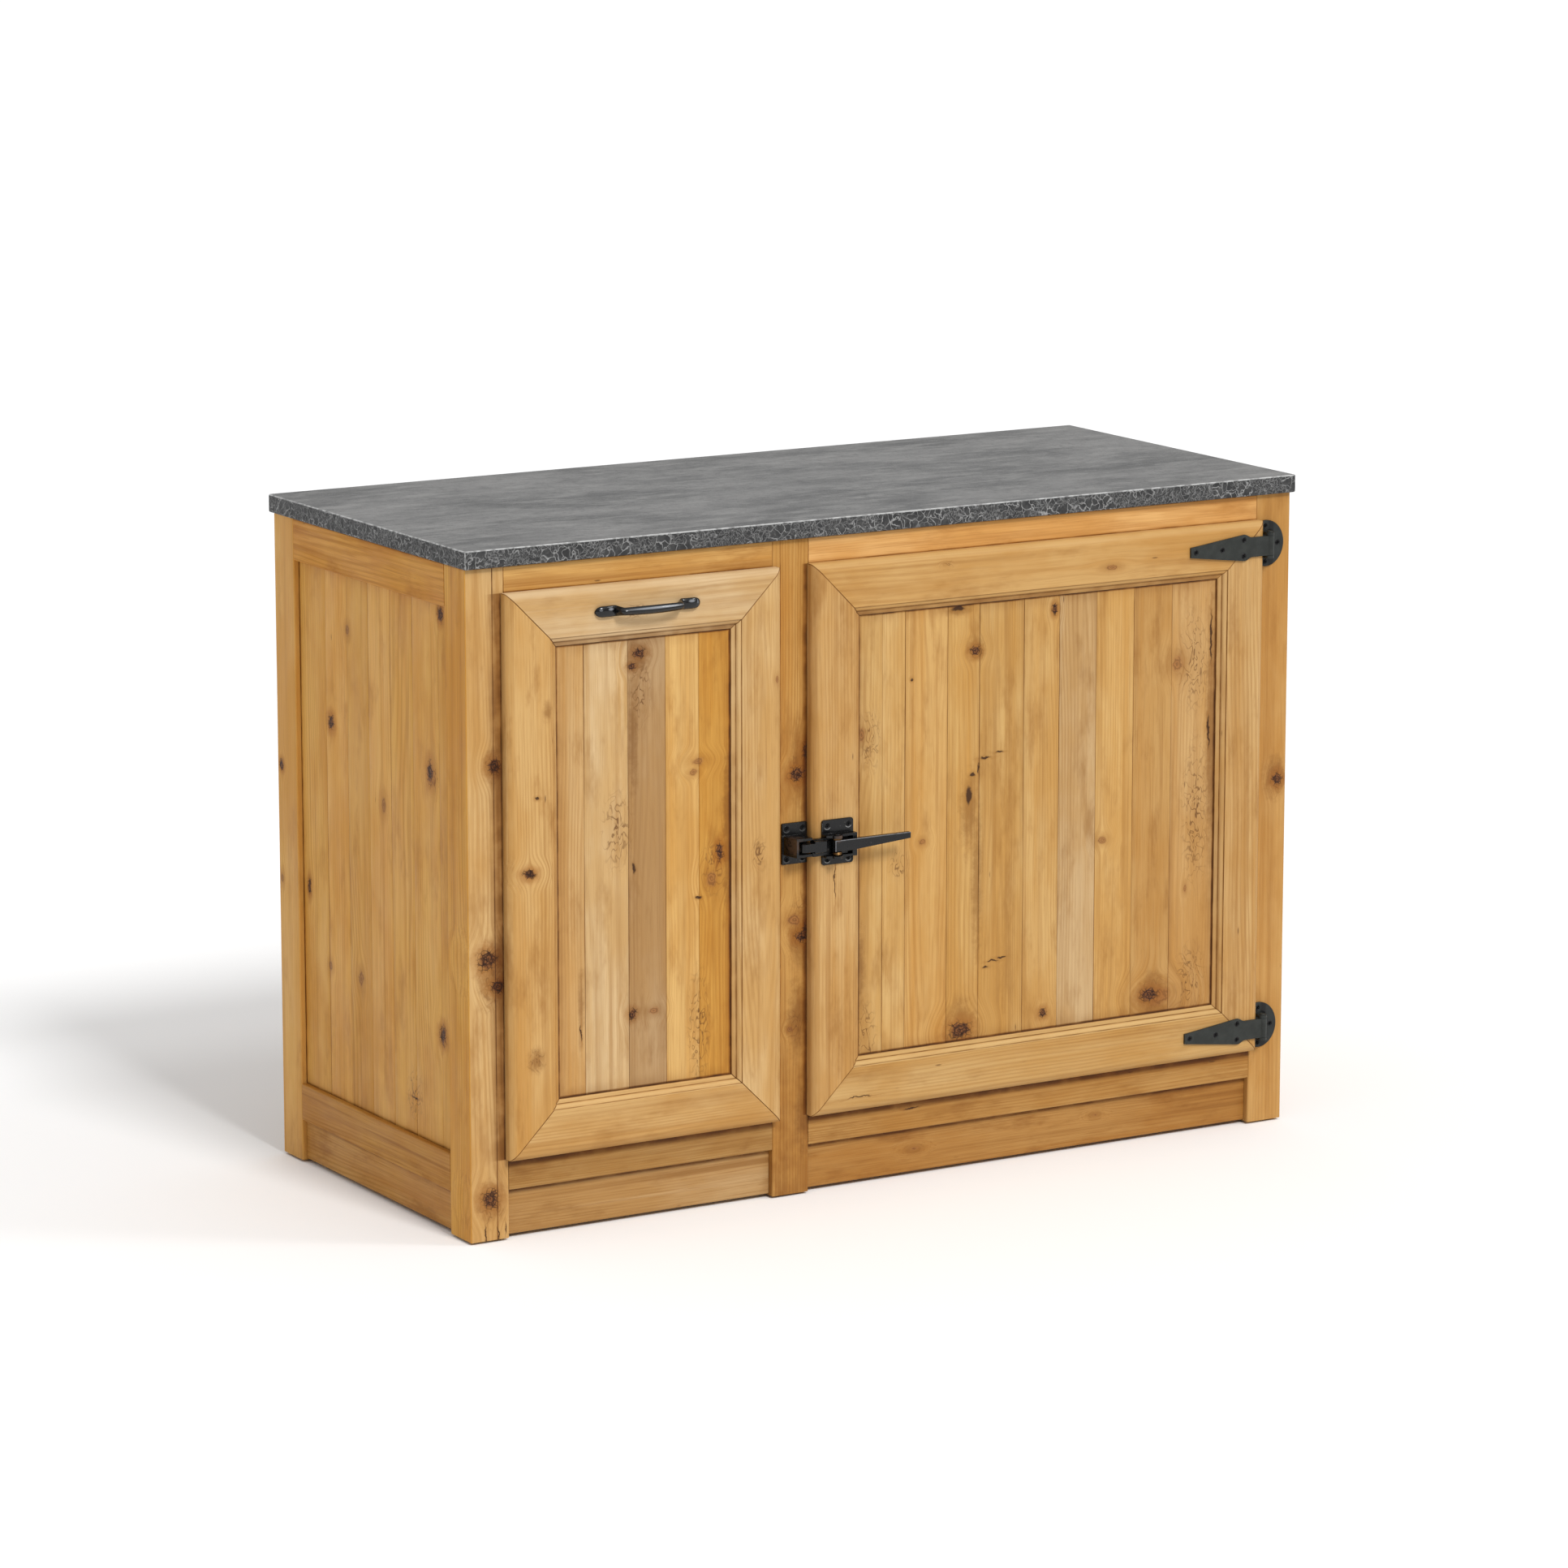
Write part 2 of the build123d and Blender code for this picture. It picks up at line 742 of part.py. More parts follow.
def frame_member(side, x, z, screws=(), bolts=()):
    """One mitred member of a front: the moulded section run along a side, cut at 45 degrees."""
    run = {
        "left": ((x[0], z[1]), (1, 0, 0), (0, 0, -1), length_of(z)),
        "right": ((x[1], z[0]), (-1, 0, 0), (0, 0, 1), length_of(z)),
        "top": ((x[1], z[1]), (0, 0, -1), (-1, 0, 0), length_of(x)),
        "bottom": ((x[0], z[0]), (0, 0, 1), (1, 0, 0), length_of(x)),
    }
    corner, inward, along, reach = run[side]
    origin = (corner[0], front_back_y, corner[1])
    section = moulding_section(Plane(origin=origin, x_dir=inward, z_dir=along))
    with BuildPart() as member:
        extrude(section, amount=reach)
        with BuildSketch(Plane(origin=origin, x_dir=along, z_dir=(0, -1, 0))):
            with BuildLine():
                Polyline(
                    (0, 0),
                    (reach, 0),
                    (reach - frame_width, frame_width),
                    (frame_width, frame_width),
                    (0, 0),
                )
            make_face()
        extrude(amount=front_thickness, mode=Mode.INTERSECT)
        if screws:
            screw_seats(screws, door_face_y, screw_length)
        if bolts:
            with BuildSketch(facing(front_back_y)):
                with Locations(*bolts):
                    Circle(handle_screw_radius + handle_screw_clearance)
            extrude(amount=front_thickness, mode=Mode.SUBTRACT)
    return member.part


def front_boards(x, z, shares):
    """The boards of a front, laid into the rebate from behind."""
    inset = frame_width - panel_rebate + panel_end_gap / 2
    panel_x = (x[0] + inset, x[1] - inset)
    panel_z = (z[0] + inset, z[1] - inset)
    plane = Plane(
        origin=(panel_x[0], front_back_y - panel_thickness, panel_z[0]),
        x_dir=(1, 0, 0),
        z_dir=(0, 0, 1),
    )
    return matchboards(plane, length_of(panel_x), shares, panel_thickness, length_of(panel_z))


member_names = {"left": "stile_left", "right": "stile_right", "top": "rail_top", "bottom": "rail_bottom"}

# Screws of the door's hardware
strap_tip_x = door_x[1] - strap_length
strap_screws = [
    (strap_tip_x + dx, z + dz)
    for z in hinge_heights
    for dx, dz in strap_screw_offsets
]
latch_plate_x = (door_x[0] + latch_plate_inset, door_x[0] + latch_plate_inset + latch_plate_width)
latch_screws = [
    (middle(latch_plate_x) + sx * latch_screw_spacing_x / 2, latch_height + sz * latch_screw_spacing_z / 2)
    for sx in (-1, 1)
    for sz in (-1, 1)
]
door_screws = strap_screws + latch_screws

# Door of the right bay
for side, name in member_names.items():
    finish(frame_member(side, door_x, front_z, screws=door_screws), f"door_{name}")
finish(group(front_boards(door_x, front_z, door_board_shares)), "door_boards")

# Front of the pull-out
handle_z = front_top - handle_height_from_top
handle_centre_x = middle(pullout_x)
handle_foot_offset = (handle_length - handle_foot_length) / 2
handle_bolts = [(handle_centre_x + s * handle_foot_offset, handle_z) for s in (-1, 1)]
for side, name in member_names.items():
    bolts = handle_bolts if side == "top" else ()
    finish(frame_member(side, pullout_x, front_z, bolts=bolts), f"pullout_{name}")
finish(group(front_boards(pullout_x, front_z, pullout_board_shares)), "pullout_boards")


def strap(z):
    """A tapered strap with its rolled knuckle, lying on the door's face."""
    shoulder_x = strap_tip_x + strap_shoulder_from_tip
    neck_x = strap_tip_x + strap_neck_from_tip
    shoulder_start = (shoulder_x - 4, strap_shoulder_half - 0.5)
    outer_y = door_face_y - strap_thickness
    with BuildPart() as leaf:
        with BuildSketch(facing(door_face_y, z)):
            with BuildLine():
                Line((strap_tip_x, 0), (strap_tip_x, strap_tip_half))
                Line((strap_tip_x, strap_tip_half), shoulder_start)
                Spline(
                    shoulder_start,
                    (shoulder_x + 1, strap_shoulder_half - 0.4),
                    (neck_x, strap_neck_half),
                    tangents=((8, 1), (1, 0)),
                )
                Line((neck_x, strap_neck_half), (hinge_axis_x, strap_neck_half))
                Line((hinge_axis_x, strap_neck_half), (hinge_axis_x, 0))
                mirror(about=Plane.XZ)
            make_face()
        extrude(amount=strap_thickness)
        with BuildSketch(Plane((hinge_axis_x, hinge_axis_y, z - strap_neck_half))):
            Circle(knuckle_radius)
        extrude(amount=2 * strap_neck_half)
        with BuildSketch(Plane((hinge_axis_x, hinge_axis_y, z - strap_neck_half))):
            Circle(hinge_pin_radius + hinge_pin_running)
        extrude(amount=2 * strap_neck_half, mode=Mode.SUBTRACT)
        points = [p for p in strap_screws if abs(p[1] - z) < strap_shoulder_half]
        with Locations(facing(outer_y)):
            with Locations(*points):
                CounterSinkHole(
                    screw_radius + screw_head_clearance,
                    screw_head_radius + screw_head_clearance,
                    counter_sink_angle=screw_head_angle,
                )
    return leaf.part


def hinge_plate(z):
    """A half-round plate on the post, with two ears that hold the pin."""
    half = hinge_plate_height / 2
    ear_low = strap_neck_half + ear_gap
    with BuildPart() as plate:
        with BuildSketch(facing(face_y)):
            with Locations((hinge_plate_x + hinge_plate_width - hinge_plate_bulge, z)):
                Ellipse(hinge_plate_bulge, half)
            with Locations((hinge_plate_x - hinge_plate_width / 2, z)):
                Rectangle(hinge_plate_width, 2 * half, mode=Mode.SUBTRACT)
        extrude(amount=hinge_plate_thickness)
        chamfer(plate.faces().sort_by(Axis.Y)[0].edges(), 0.9)
        for bottom in (z + ear_low, z - ear_low - ear_height):
            with BuildSketch(Plane.XY.offset(bottom)):
                with BuildLine():
                    Polyline(
                        (hinge_axis_x - knuckle_radius, hinge_axis_y),
                        (hinge_axis_x - knuckle_radius + ear_taper, hinge_plate_y),
                        (hinge_axis_x - knuckle_radius + ear_taper, face_y - 1),
                        (hinge_axis_x + knuckle_radius + ear_foot, face_y - 1),
                        (hinge_axis_x + knuckle_radius + ear_foot, hinge_plate_y),
                        (hinge_axis_x + knuckle_radius, hinge_axis_y),
                        (hinge_axis_x - knuckle_radius, hinge_axis_y),
                    )
                make_face()
                with Locations((hinge_axis_x, hinge_axis_y)):
                    Circle(knuckle_radius)
                    Circle(hinge_pin_radius + hinge_pin_seat, mode=Mode.SUBTRACT)
            extrude(amount=ear_height)
        points = [p for p in hinge_plate_screws if abs(p[1] - z) < half]
        with Locations(facing(hinge_plate_y)):
            with Locations(*points):
                CounterSinkHole(
                    screw_radius + screw_head_clearance,
                    screw_head_radius + screw_head_clearance,
                    counter_sink_angle=screw_head_angle,
                )
    return plate.part


def hinge_pin(z):
    """A riveted pin with an eased head, through both ears and the strap's knuckle."""
    half = strap_neck_half + ear_gap + ear_height
    with BuildPart() as rivet:
        with BuildSketch(Plane((hinge_axis_x, hinge_axis_y, z - half))):
            Circle(hinge_pin_radius)
        extrude(amount=2 * half)
        with BuildSketch(Plane((hinge_axis_x, hinge_axis_y, z + half))):
            Circle(hinge_pin_radius + hinge_pin_head_lip)
        extrude(amount=hinge_pin_head_height)
        chamfer(rivet.faces().sort_by(Axis.Z)[-1].edges(), hinge_pin_head_ease)
    return rivet.part


finish(group([strap(z) for z in hinge_heights]), "hinge_straps")
finish(group([hinge_plate(z) for z in hinge_heights]), "hinge_plates")
finish(group([hinge_pin(z) for z in hinge_heights]), "hinge_pins")

strap_face_y = door_face_y - strap_thickness
latch_face_y = door_face_y - latch_plate_thickness
finish(
    group(
        [wood_screw(p, strap_face_y) for p in strap_screws]
        + [wood_screw(p, latch_face_y) for p in latch_screws]
    ),
    "door_hardware_screws",
)
finish(
    group(
        [wood_screw(p, hinge_plate_y) for p in hinge_plate_screws]
        + [wood_screw(p, keeper_plate_y) for p in keeper_screws]
    ),
    "post_hardware_screws",
)

# Lever latch on the door's left stile
lever_z = latch_height - latch_drop
pivot_x = door_x[0] + pivot_inset
pivot_y = door_face_y - pivot_depth
bolt_y = (latch_face_y - bolt_gap - bolt_thickness, latch_face_y - bolt_gap)
upper_cheek_z = lever_z + lever_half_height + cheek_gap + washer_height + cheek_gap
spring_height = spring_turns * spring_pitch + 2 * spring_wire_radius
lower_cheek_z = lever_z - lever_half_height - spring_height - 2 * spring_gap
bolt_z = (lower_cheek_z + bolt_gap, upper_cheek_z - bolt_gap)


def cheek_outline():
    """Plan of a housing cheek: a low wall with a raised lug that carries the pin."""
    wall_y = door_face_y - cheek_depth
    Polyline(
        (latch_plate_x[0], latch_face_y + 1),
        (latch_plate_x[0], wall_y),
        (pivot_x - cheek_lug_half_width, pivot_y),
        (pivot_x + cheek_lug_half_width, pivot_y),
        (pivot_x + cheek_lug_half_width + 3, wall_y),
        (latch_plate_x[1] - 1, wall_y),
        (latch_plate_x[1] - 1, latch_face_y + 1),
        (latch_plate_x[0], latch_face_y + 1),
    )


with BuildPart() as latch_base:
    with BuildSketch(facing(door_face_y)):
        with Locations((middle(latch_plate_x), latch_height)):
            RectangleRounded(latch_plate_width, latch_plate_height, latch_plate_corner)
    extrude(amount=latch_plate_thickness)
    chamfer(latch_base.faces().sort_by(Axis.Y)[0].edges(), 0.7)
    for cheek_bottom in (upper_cheek_z, lower_cheek_z - cheek_thickness):
        with BuildSketch(Plane.XY.offset(cheek_bottom)):
            with BuildLine():
                cheek_outline()
            make_face()
            with Locations((pivot_x, pivot_y)):
                Circle(cheek_lug_half_width)
        extrude(amount=cheek_thickness)
    with BuildSketch(Plane.XY.offset(lower_cheek_z - 1)):
        end_x = (latch_plate_x[1] - 1 - housing_end_width, latch_plate_x[1] - 1)
        end_y = (door_face_y - cheek_depth, latch_face_y + 1)
        with Locations((middle(end_x), middle(end_y))):
            Rectangle(length_of(end_x), length_of(end_y))
    extrude(amount=upper_cheek_z - lower_cheek_z + 2)
    with BuildSketch(Plane((pivot_x, pivot_y, lower_cheek_z - cheek_thickness))):
        Circle(pivot_radius + hinge_pin_seat)
    extrude(amount=upper_cheek_z - lower_cheek_z + 2 * cheek_thickness, mode=Mode.SUBTRACT)
    with Locations(facing(latch_face_y)):
        with Locations(*latch_screws):
            CounterSinkHole(
                screw_radius + screw_head_clearance,
                screw_head_radius + screw_head_clearance,
                counter_sink_angle=screw_head_angle,
            )
finish(latch_base.part, "latch_base")

# Pin of the lever
pin_z = (lower_cheek_z - cheek_thickness, upper_cheek_z + cheek_thickness)
with BuildPart() as latch_pin:
    with BuildSketch(Plane((pivot_x, pivot_y, pin_z[0]))):
        Circle(pivot_radius)
    extrude(amount=length_of(pin_z))
    with BuildSketch(Plane((pivot_x, pivot_y, pin_z[1]))):
        Circle(pivot_radius + pivot_head_lip)
    extrude(amount=pivot_head_height)
    chamfer(latch_pin.faces().sort_by(Axis.Z)[-1].edges(), pivot_head_ease)
finish(latch_pin.part, "latch_pin")

# Bronze washer between the lever and the upper cheek
with BuildPart() as latch_washer:
    with BuildSketch(Plane((pivot_x, pivot_y, lever_z + lever_half_height + cheek_gap))):
        Circle(washer_radius)
        Circle(pivot_radius + hinge_pin_running, mode=Mode.SUBTRACT)
    extrude(amount=washer_height)
finish(latch_washer.part, "latch_washer")

# Return spring, coiled round the pin under the lever
spring_base = lower_cheek_z + spring_gap + spring_wire_radius
with BuildPart() as latch_spring:
    with BuildLine() as coil:
        Helix(
            pitch=spring_pitch,
            height=spring_turns * spring_pitch,
            radius=spring_coil_radius,
            center=(pivot_x, pivot_y, spring_base),
        )
    with BuildSketch(coil.line ^ 0):
        RegularPolygon(spring_wire_radius, spring_wire_sides)
    sweep(path=coil.line, is_frenet=True)
finish(latch_spring.part, "latch_spring")

# Lever: a hub round the pin, a toe that works the bolt, and a tapered arm
lever_front = pivot_y - hub_radius
lever_tip_x = pivot_x + lever_length
with BuildPart() as latch_lever:
    with BuildSketch(Plane.XY.offset(lever_z - lever_half_height)) as plan:
        with BuildLine():
            Polyline(
                (pivot_x - hub_radius, pivot_y),
                (pivot_x - hub_radius, lever_front),
                (lever_tip_x, lever_front),
                (lever_tip_x, lever_front + lever_tip_thickness),
                (pivot_x + hub_radius + 4, lever_front + lever_thickness),
                (pivot_x, pivot_y + hub_radius * 0.5),
                (pivot_x - hub_radius, pivot_y),
            )
        make_face()
        with Locations((pivot_x, pivot_y)):
            Circle(hub_radius)
    extrude(amount=2 * lever_half_height)
    with BuildSketch(facing(lever_front)):
        with BuildLine():
            Polyline(
                (pivot_x - hub_radius, lever_z - lever_half_height),
                (pivot_x + lever_straight, lever_z - lever_half_height),
                (lever_tip_x, lever_z + lever_half_height - lever_tip_height),
                (lever_tip_x, lever_z + lever_half_height),
                (pivot_x - hub_radius, lever_z + lever_half_height),
                (pivot_x - hub_radius, lever_z - lever_half_height),
            )
        make_face()
    extrude(amount=-2 * hub_radius, mode=Mode.INTERSECT)
    with BuildSketch(Plane.XY.offset(lever_z - toe_half_height)):
        with Locations((pivot_x, pivot_y + toe_reach / 2)):
            Rectangle(toe_width, toe_reach)
    extrude(amount=2 * toe_half_height)
    tip_edges = latch_lever.faces().sort_by(Axis.X)[-1].edges()
    fillet(tip_edges, 2)
    with BuildSketch(Plane((pivot_x, pivot_y, lever_z - lever_half_height))):
        Circle(pivot_radius + hinge_pin_running)
    extrude(amount=2 * lever_half_height, mode=Mode.SUBTRACT)
finish(latch_lever.part, "latch_lever")

# Bolt: a bar that slides in the housing, with a shouldered head and a wedge nose
keeper_box_right = keeper_x[0] + keeper_box_left + keeper_box_width
head_x = (keeper_box_right + keeper_plate_gap, pivot_x - hub_radius - 8.5)
bolt_x = (head_x[0], latch_plate_x[1] - housing_end_width - lever_bolt_travel - 1)
nose_tip_x = head_x[0] - nose_length
nose_back_y = keeper_plate_y - keeper_floor - 2 * strike_radius - nose_gap
with BuildPart() as latch_bolt:
    with BuildSketch(Plane.XY.offset(bolt_z[0])):
        with Locations((middle(bolt_x), middle(bolt_y))):
            Rectangle(length_of(bolt_x), length_of(bolt_y))
    extrude(amount=length_of(bolt_z))
    with BuildSketch(Plane.XY.offset(lever_z - bolt_head_half)):
        head_y = (pivot_y, bolt_y[1])
        with Locations((middle(head_x), middle(head_y))):
            Rectangle(length_of(head_x), length_of(head_y))
    extrude(amount=2 * bolt_head_half)
    chamfer(latch_bolt.faces().sort_by(Axis.Y)[0].edges(), 1)
    with BuildSketch(Plane.XY.offset(lever_z - nose_half)):
        with BuildLine():
            Polyline(
                (head_x[0], nose_back_y),
                (nose_tip_x, pivot_y + 5),
                (nose_tip_x, pivot_y + 3),
                (nose_tip_x + 3, pivot_y),
                (head_x[0] + 1, pivot_y),
                (head_x[0] + 1, bolt_y[0]),
                (head_x[0], bolt_y[0]),
                (head_x[0], nose_back_y),
            )
        make_face()
    extrude(amount=2 * nose_half)
    with BuildSketch(Plane.XY.offset(lever_z - bolt_notch_height / 2)):
        notch_x = (pivot_x - toe_width / 2 - toe_clearance, pivot_x + toe_width / 2 + toe_clearance)
        notch_y = (bolt_y[0] - 1, bolt_y[0] + bolt_notch_depth)
        with Locations((middle(notch_x), middle(notch_y))):
            Rectangle(length_of(notch_x), length_of(notch_y))
    extrude(amount=bolt_notch_height, mode=Mode.SUBTRACT)
finish(latch_bolt.part, "latch_bolt")

# Keeper: a plate with a boxed pocket and a cast strike bar
box_x = (keeper_x[0] + keeper_box_left, keeper_x[0] + keeper_box_left + keeper_box_width)
box_half = keeper_pocket_half_height + keeper_wall - 1
box_front_y = face_y - keeper_box_depth
strike_x = nose_tip_x + 5
strike_y = keeper_plate_y - keeper_floor - strike_radius
with BuildPart() as keeper:
    with BuildSketch(facing(face_y)):
        with Locations((middle(keeper_x), latch_height)):
            RectangleRounded(keeper_plate_width, keeper_plate_height, 2)
    extrude(amount=keeper_plate_thickness)
    chamfer(keeper.faces().sort_by(Axis.Y)[0].edges(), 0.6)
    with BuildSketch(Plane.XY.offset(lever_z - box_half)):
        with BuildLine():
            Polyline(
                (box_x[1], keeper_plate_y + 1),
                (box_x[0] - 3, keeper_plate_y + 1),
                (box_x[0] - 3, keeper_plate_y),
            )
            ThreePointArc(
                (box_x[0] - 3, keeper_plate_y),
                (box_x[0] - 1.6, keeper_plate_y - 9),
                (box_x[0] + 1.5, box_front_y),
            )
            Polyline(
                (box_x[0] + 1.5, box_front_y),
                (box_x[1], box_front_y),
                (box_x[1], keeper_plate_y + 1),
            )
        make_face()
    extrude(amount=2 * box_half)
    with BuildSketch(Plane.XY.offset(lever_z - keeper_pocket_half_height)):
        pocket_x = (box_x[0] + keeper_wall, box_x[1] + 1)
        pocket_y = (box_front_y - 1, keeper_plate_y - keeper_floor + keeper_plate_thickness)
        with Locations((middle(pocket_x), middle(pocket_y))):
            Rectangle(length_of(pocket_x), length_of(pocket_y))
    extrude(amount=2 * keeper_pocket_half_height, mode=Mode.SUBTRACT)
    with BuildSketch(Plane((strike_x, strike_y, lever_z - keeper_pocket_half_height))):
        Circle(strike_radius)
    extrude(amount=2 * keeper_pocket_half_height)
    with Locations(facing(keeper_plate_y)):
        with Locations(*keeper_screws):
            CounterSinkHole(
                screw_radius + screw_head_clearance,
                screw_head_radius + screw_head_clearance,
                counter_sink_angle=screw_head_angle,
            )
finish(keeper.part, "latch_keeper")


def handle_foot(x):
    """A rounded foot of the handle, standing on the front's face."""
    with BuildPart() as foot:
        with BuildSketch(facing(door_face_y)):
            with Locations((x, handle_z)):
                RectangleRounded(
                    handle_foot_length, 2 * handle_foot_half_height, handle_foot_corner
                )
        extrude(amount=handle_foot_depth, taper=handle_foot_draft)
        fillet(foot.faces().sort_by(Axis.Y)[0].edges(), handle_foot_rounding)
    return foot.part


# Pull handle: a bowed bar between two rounded feet
foot_inner = handle_length / 2 - handle_foot_length
foot_top_y = door_face_y - handle_foot_depth
root_y = door_face_y - 0.55 * handle_foot_depth
bar_y = door_face_y - handle_projection
root_section = (handle_bar_root_half_height, handle_bar_root_half_depth)
shoulder_section = (handle_bar_neck_half_height + 0.6, handle_bar_neck_half_depth)
neck_section = (handle_bar_neck_half_height, handle_bar_neck_half_depth)
bar_section = (handle_bar_half_height, handle_bar_half_depth)
bend_y = bar_y + handle_bar_bend_rise
feet = [handle_foot(x) for x, z in handle_bolts]
with BuildPart() as pull_handle:
    profile = [
        (-foot_inner - handle_bar_root_inset, root_y, root_section),
        (-foot_inner + handle_bar_neck_inset, foot_top_y - 1, shoulder_section),
        (-foot_inner + handle_bar_bend_reach, bend_y, neck_section),
        (0, bar_y, bar_section),
        (foot_inner - handle_bar_bend_reach, bend_y, neck_section),
        (foot_inner - handle_bar_neck_inset, foot_top_y - 1, shoulder_section),
        (foot_inner + handle_bar_root_inset, root_y, root_section),
    ]
    for offset_x, y, (half_height, half_depth) in profile:
        with BuildSketch(
            Plane(
                origin=(handle_centre_x + offset_x, y, handle_z),
                x_dir=(0, -1, 0),
                z_dir=(1, 0, 0),
            )
        ):
            Ellipse(half_depth, half_height)
    loft()
    for foot in feet:
        add(foot)
    with BuildSketch(facing(door_face_y)):
        with Locations(*handle_bolts):
            Circle(handle_screw_radius + handle_screw_clearance)
    extrude(amount=handle_foot_depth - 2, mode=Mode.SUBTRACT)
finish(pull_handle.part, "pull_handle")

# Screws of the handle, from inside the front
handle_screws = []
for x, z in handle_bolts:
    with BuildPart() as bolt:
        with BuildSketch(facing(front_back_y)):
            with Locations((x, z)):
                Circle(handle_screw_radius)
        extrude(amount=front_thickness + handle_foot_depth - 3)
        with BuildSketch(facing(front_back_y)):
            with Locations((x, z)):
                Circle(handle_screw_head_radius)
        extrude(amount=-handle_screw_head_height)
    handle_screws.append(bolt.part)
finish(group(handle_screws), "handle_screws")

# Pull-out box
box_outer_x = (left_bay[0] + runner_thickness, left_bay[1] - runner_thickness)
box_y = (front_back_y, front_back_y + box_length)
box_z = (box_base, box_base + box_height)
box_inner_x = (box_outer_x[0] + box_wall, box_outer_x[1] - box_wall)
box_inner_y = (box_y[0] + box_wall, box_y[1] - box_wall)
bottom_z = (box_base + box_bottom_rise, box_base + box_bottom_rise + box_bottom_thickness)
bottom_slot = spans_of(
    (box_inner_x[0] - box_groove, box_inner_x[1] + box_groove),
    (box_inner_y[0] - box_groove, box_inner_y[1] + box_groove),
    bottom_z,
)
box_walls = {
    "box_sides": [
        (spans_of((box_outer_x[0], box_inner_x[0]), box_y, box_z), "y"),
        (spans_of((box_inner_x[1], box_outer_x[1]), box_y, box_z), "y"),
    ],
    "box_ends": [
        (spans_of(box_inner_x, (box_y[0], box_inner_y[0]), box_z), "x"),
        (spans_of(box_inner_x, (box_inner_y[1], box_y[1]), box_z), "x"),
    ],
}
for label, walls in box_walls.items():
    pieces = [timber(spans, grain, pockets=[bottom_slot]) for spans, grain in walls]
    finish(group(pieces), label)
with BuildPart() as box_bottom:
    with BuildSketch(Plane.XY.offset(bottom_z[0])):
        with Locations((middle(bottom_slot["x"]), middle(bottom_slot["y"]))):
            Rectangle(
                length_of(bottom_slot["x"]) - panel_end_gap,
                length_of(bottom_slot["y"]) - panel_end_gap,
            )
    extrude(amount=box_bottom_thickness)
finish(box_bottom.part, "box_bottom")


def channel(x_web, x_edge, height, thickness):
    """A steel channel along the cabinet's depth, its web at one X and its edges at another."""
    toward = 1 if x_edge > x_web else -1
    half = height / 2
    y_start = face_y + runner_front_gap
    with BuildPart() as rail:
        with BuildSketch(Plane(origin=(0, y_start, 0), x_dir=(1, 0, 0), z_dir=(0, 1, 0))):
            with BuildLine():
                Polyline(
                    (x_web, -runner_centre_height - half),
                    (x_edge, -runner_centre_height - half),
                    (x_edge, -runner_centre_height - half + thickness),
                    (x_web + toward * thickness, -runner_centre_height - half + thickness),
                    (x_web + toward * thickness, -runner_centre_height + half - thickness),
                    (x_edge, -runner_centre_height + half - thickness),
                    (x_edge, -runner_centre_height + half),
                    (x_web, -runner_centre_height + half),
                    (x_web, -runner_centre_height - half),
                )
            make_face()
        extrude(amount=runner_length)
    return rail.part


# Full-extension runners: an outer, a middle and an inner channel on each side
runner_sides = ((left_bay[0], 1), (left_bay[1], -1))
outer_lip = runner_thickness - 3.2
middle_web = runner_wall + runner_web_gap
middle_lip = runner_thickness - 1.7
inner_lip = middle_web + runner_wall + runner_web_gap
outer_channels = []
middle_channels = []
inner_channels = []
for wall_x, toward in runner_sides:
    outer_channels.append(channel(wall_x, wall_x + toward * outer_lip, runner_height, runner_wall))
    middle_channels.append(
        channel(
            wall_x + toward * middle_web,
            wall_x + toward * middle_lip,
            runner_middle_height,
            runner_wall,
        )
    )
    inner_channels.append(
        channel(
            wall_x + toward * runner_thickness,
            wall_x + toward * inner_lip,
            runner_inner_height,
            runner_wall,
        )
    )
finish(group(outer_channels), "runner_outer")
finish(group(middle_channels), "runner_middle")
finish(group(inner_channels), "runner_inner")

# Batten that brings the left runner flush with the post
batten_z = (runner_centre_height - batten_height / 2, runner_centre_height + batten_height / 2)
batten_spans = spans_of((side_inner_left, left_bay[0]), side_run, batten_z)
finish(timber(batten_spans, "y"), "runner_batten")

# Steel brackets that brace the tall front to the box
brackets = []
for plate_x, toward in ((box_inner_x[0], 1), (box_inner_x[1], -1)):
    base = box_z[1]
    foot_z = base + bracket_clearance
    plate_plane = Plane(origin=(plate_x, 0, 0), x_dir=(0, toward, 0), z_dir=(toward, 0, 0))
    with BuildPart() as bracket:
        with BuildSketch(plate_plane):
            with BuildLine():
                Polyline(
                    (toward * box_y[0], foot_z),
                    (toward * box_y[0], base + bracket_height),
                    (toward * (box_y[0] + bracket_top_width), base + bracket_height),
                    (toward * (box_inner_y[0] + bracket_reach), base - 5),
                    (toward * (box_inner_y[0] + bracket_reach), base - bracket_drop),
                    (toward * (box_inner_y[0] + 2), base - bracket_drop),
                    (toward * (box_inner_y[0] + 2), foot_z),
                    (toward * box_y[0], foot_z),
                )
            make_face()
            with Locations(
                (toward * (box_inner_y[0] + 15), base - 25),
                (toward * (box_inner_y[0] + 45), base - 25),
            ):
                Circle(bracket_hole_radius, mode=Mode.SUBTRACT)
        extrude(amount=bracket_thickness)
        with BuildSketch(facing(box_y[0])):
            flange_x = sorted((plate_x, plate_x + toward * bracket_flange))
            flange_z = (foot_z, base + bracket_height)
            with Locations((middle(flange_x), middle(flange_z))):
                Rectangle(length_of(flange_x), length_of(flange_z))
                with Locations((toward * 4, 40), (toward * 4, -40)):
                    Circle(bracket_hole_radius, mode=Mode.SUBTRACT)
        extrude(amount=-bracket_thickness)
    brackets.append(bracket.part)
finish(group(brackets), "front_brackets")
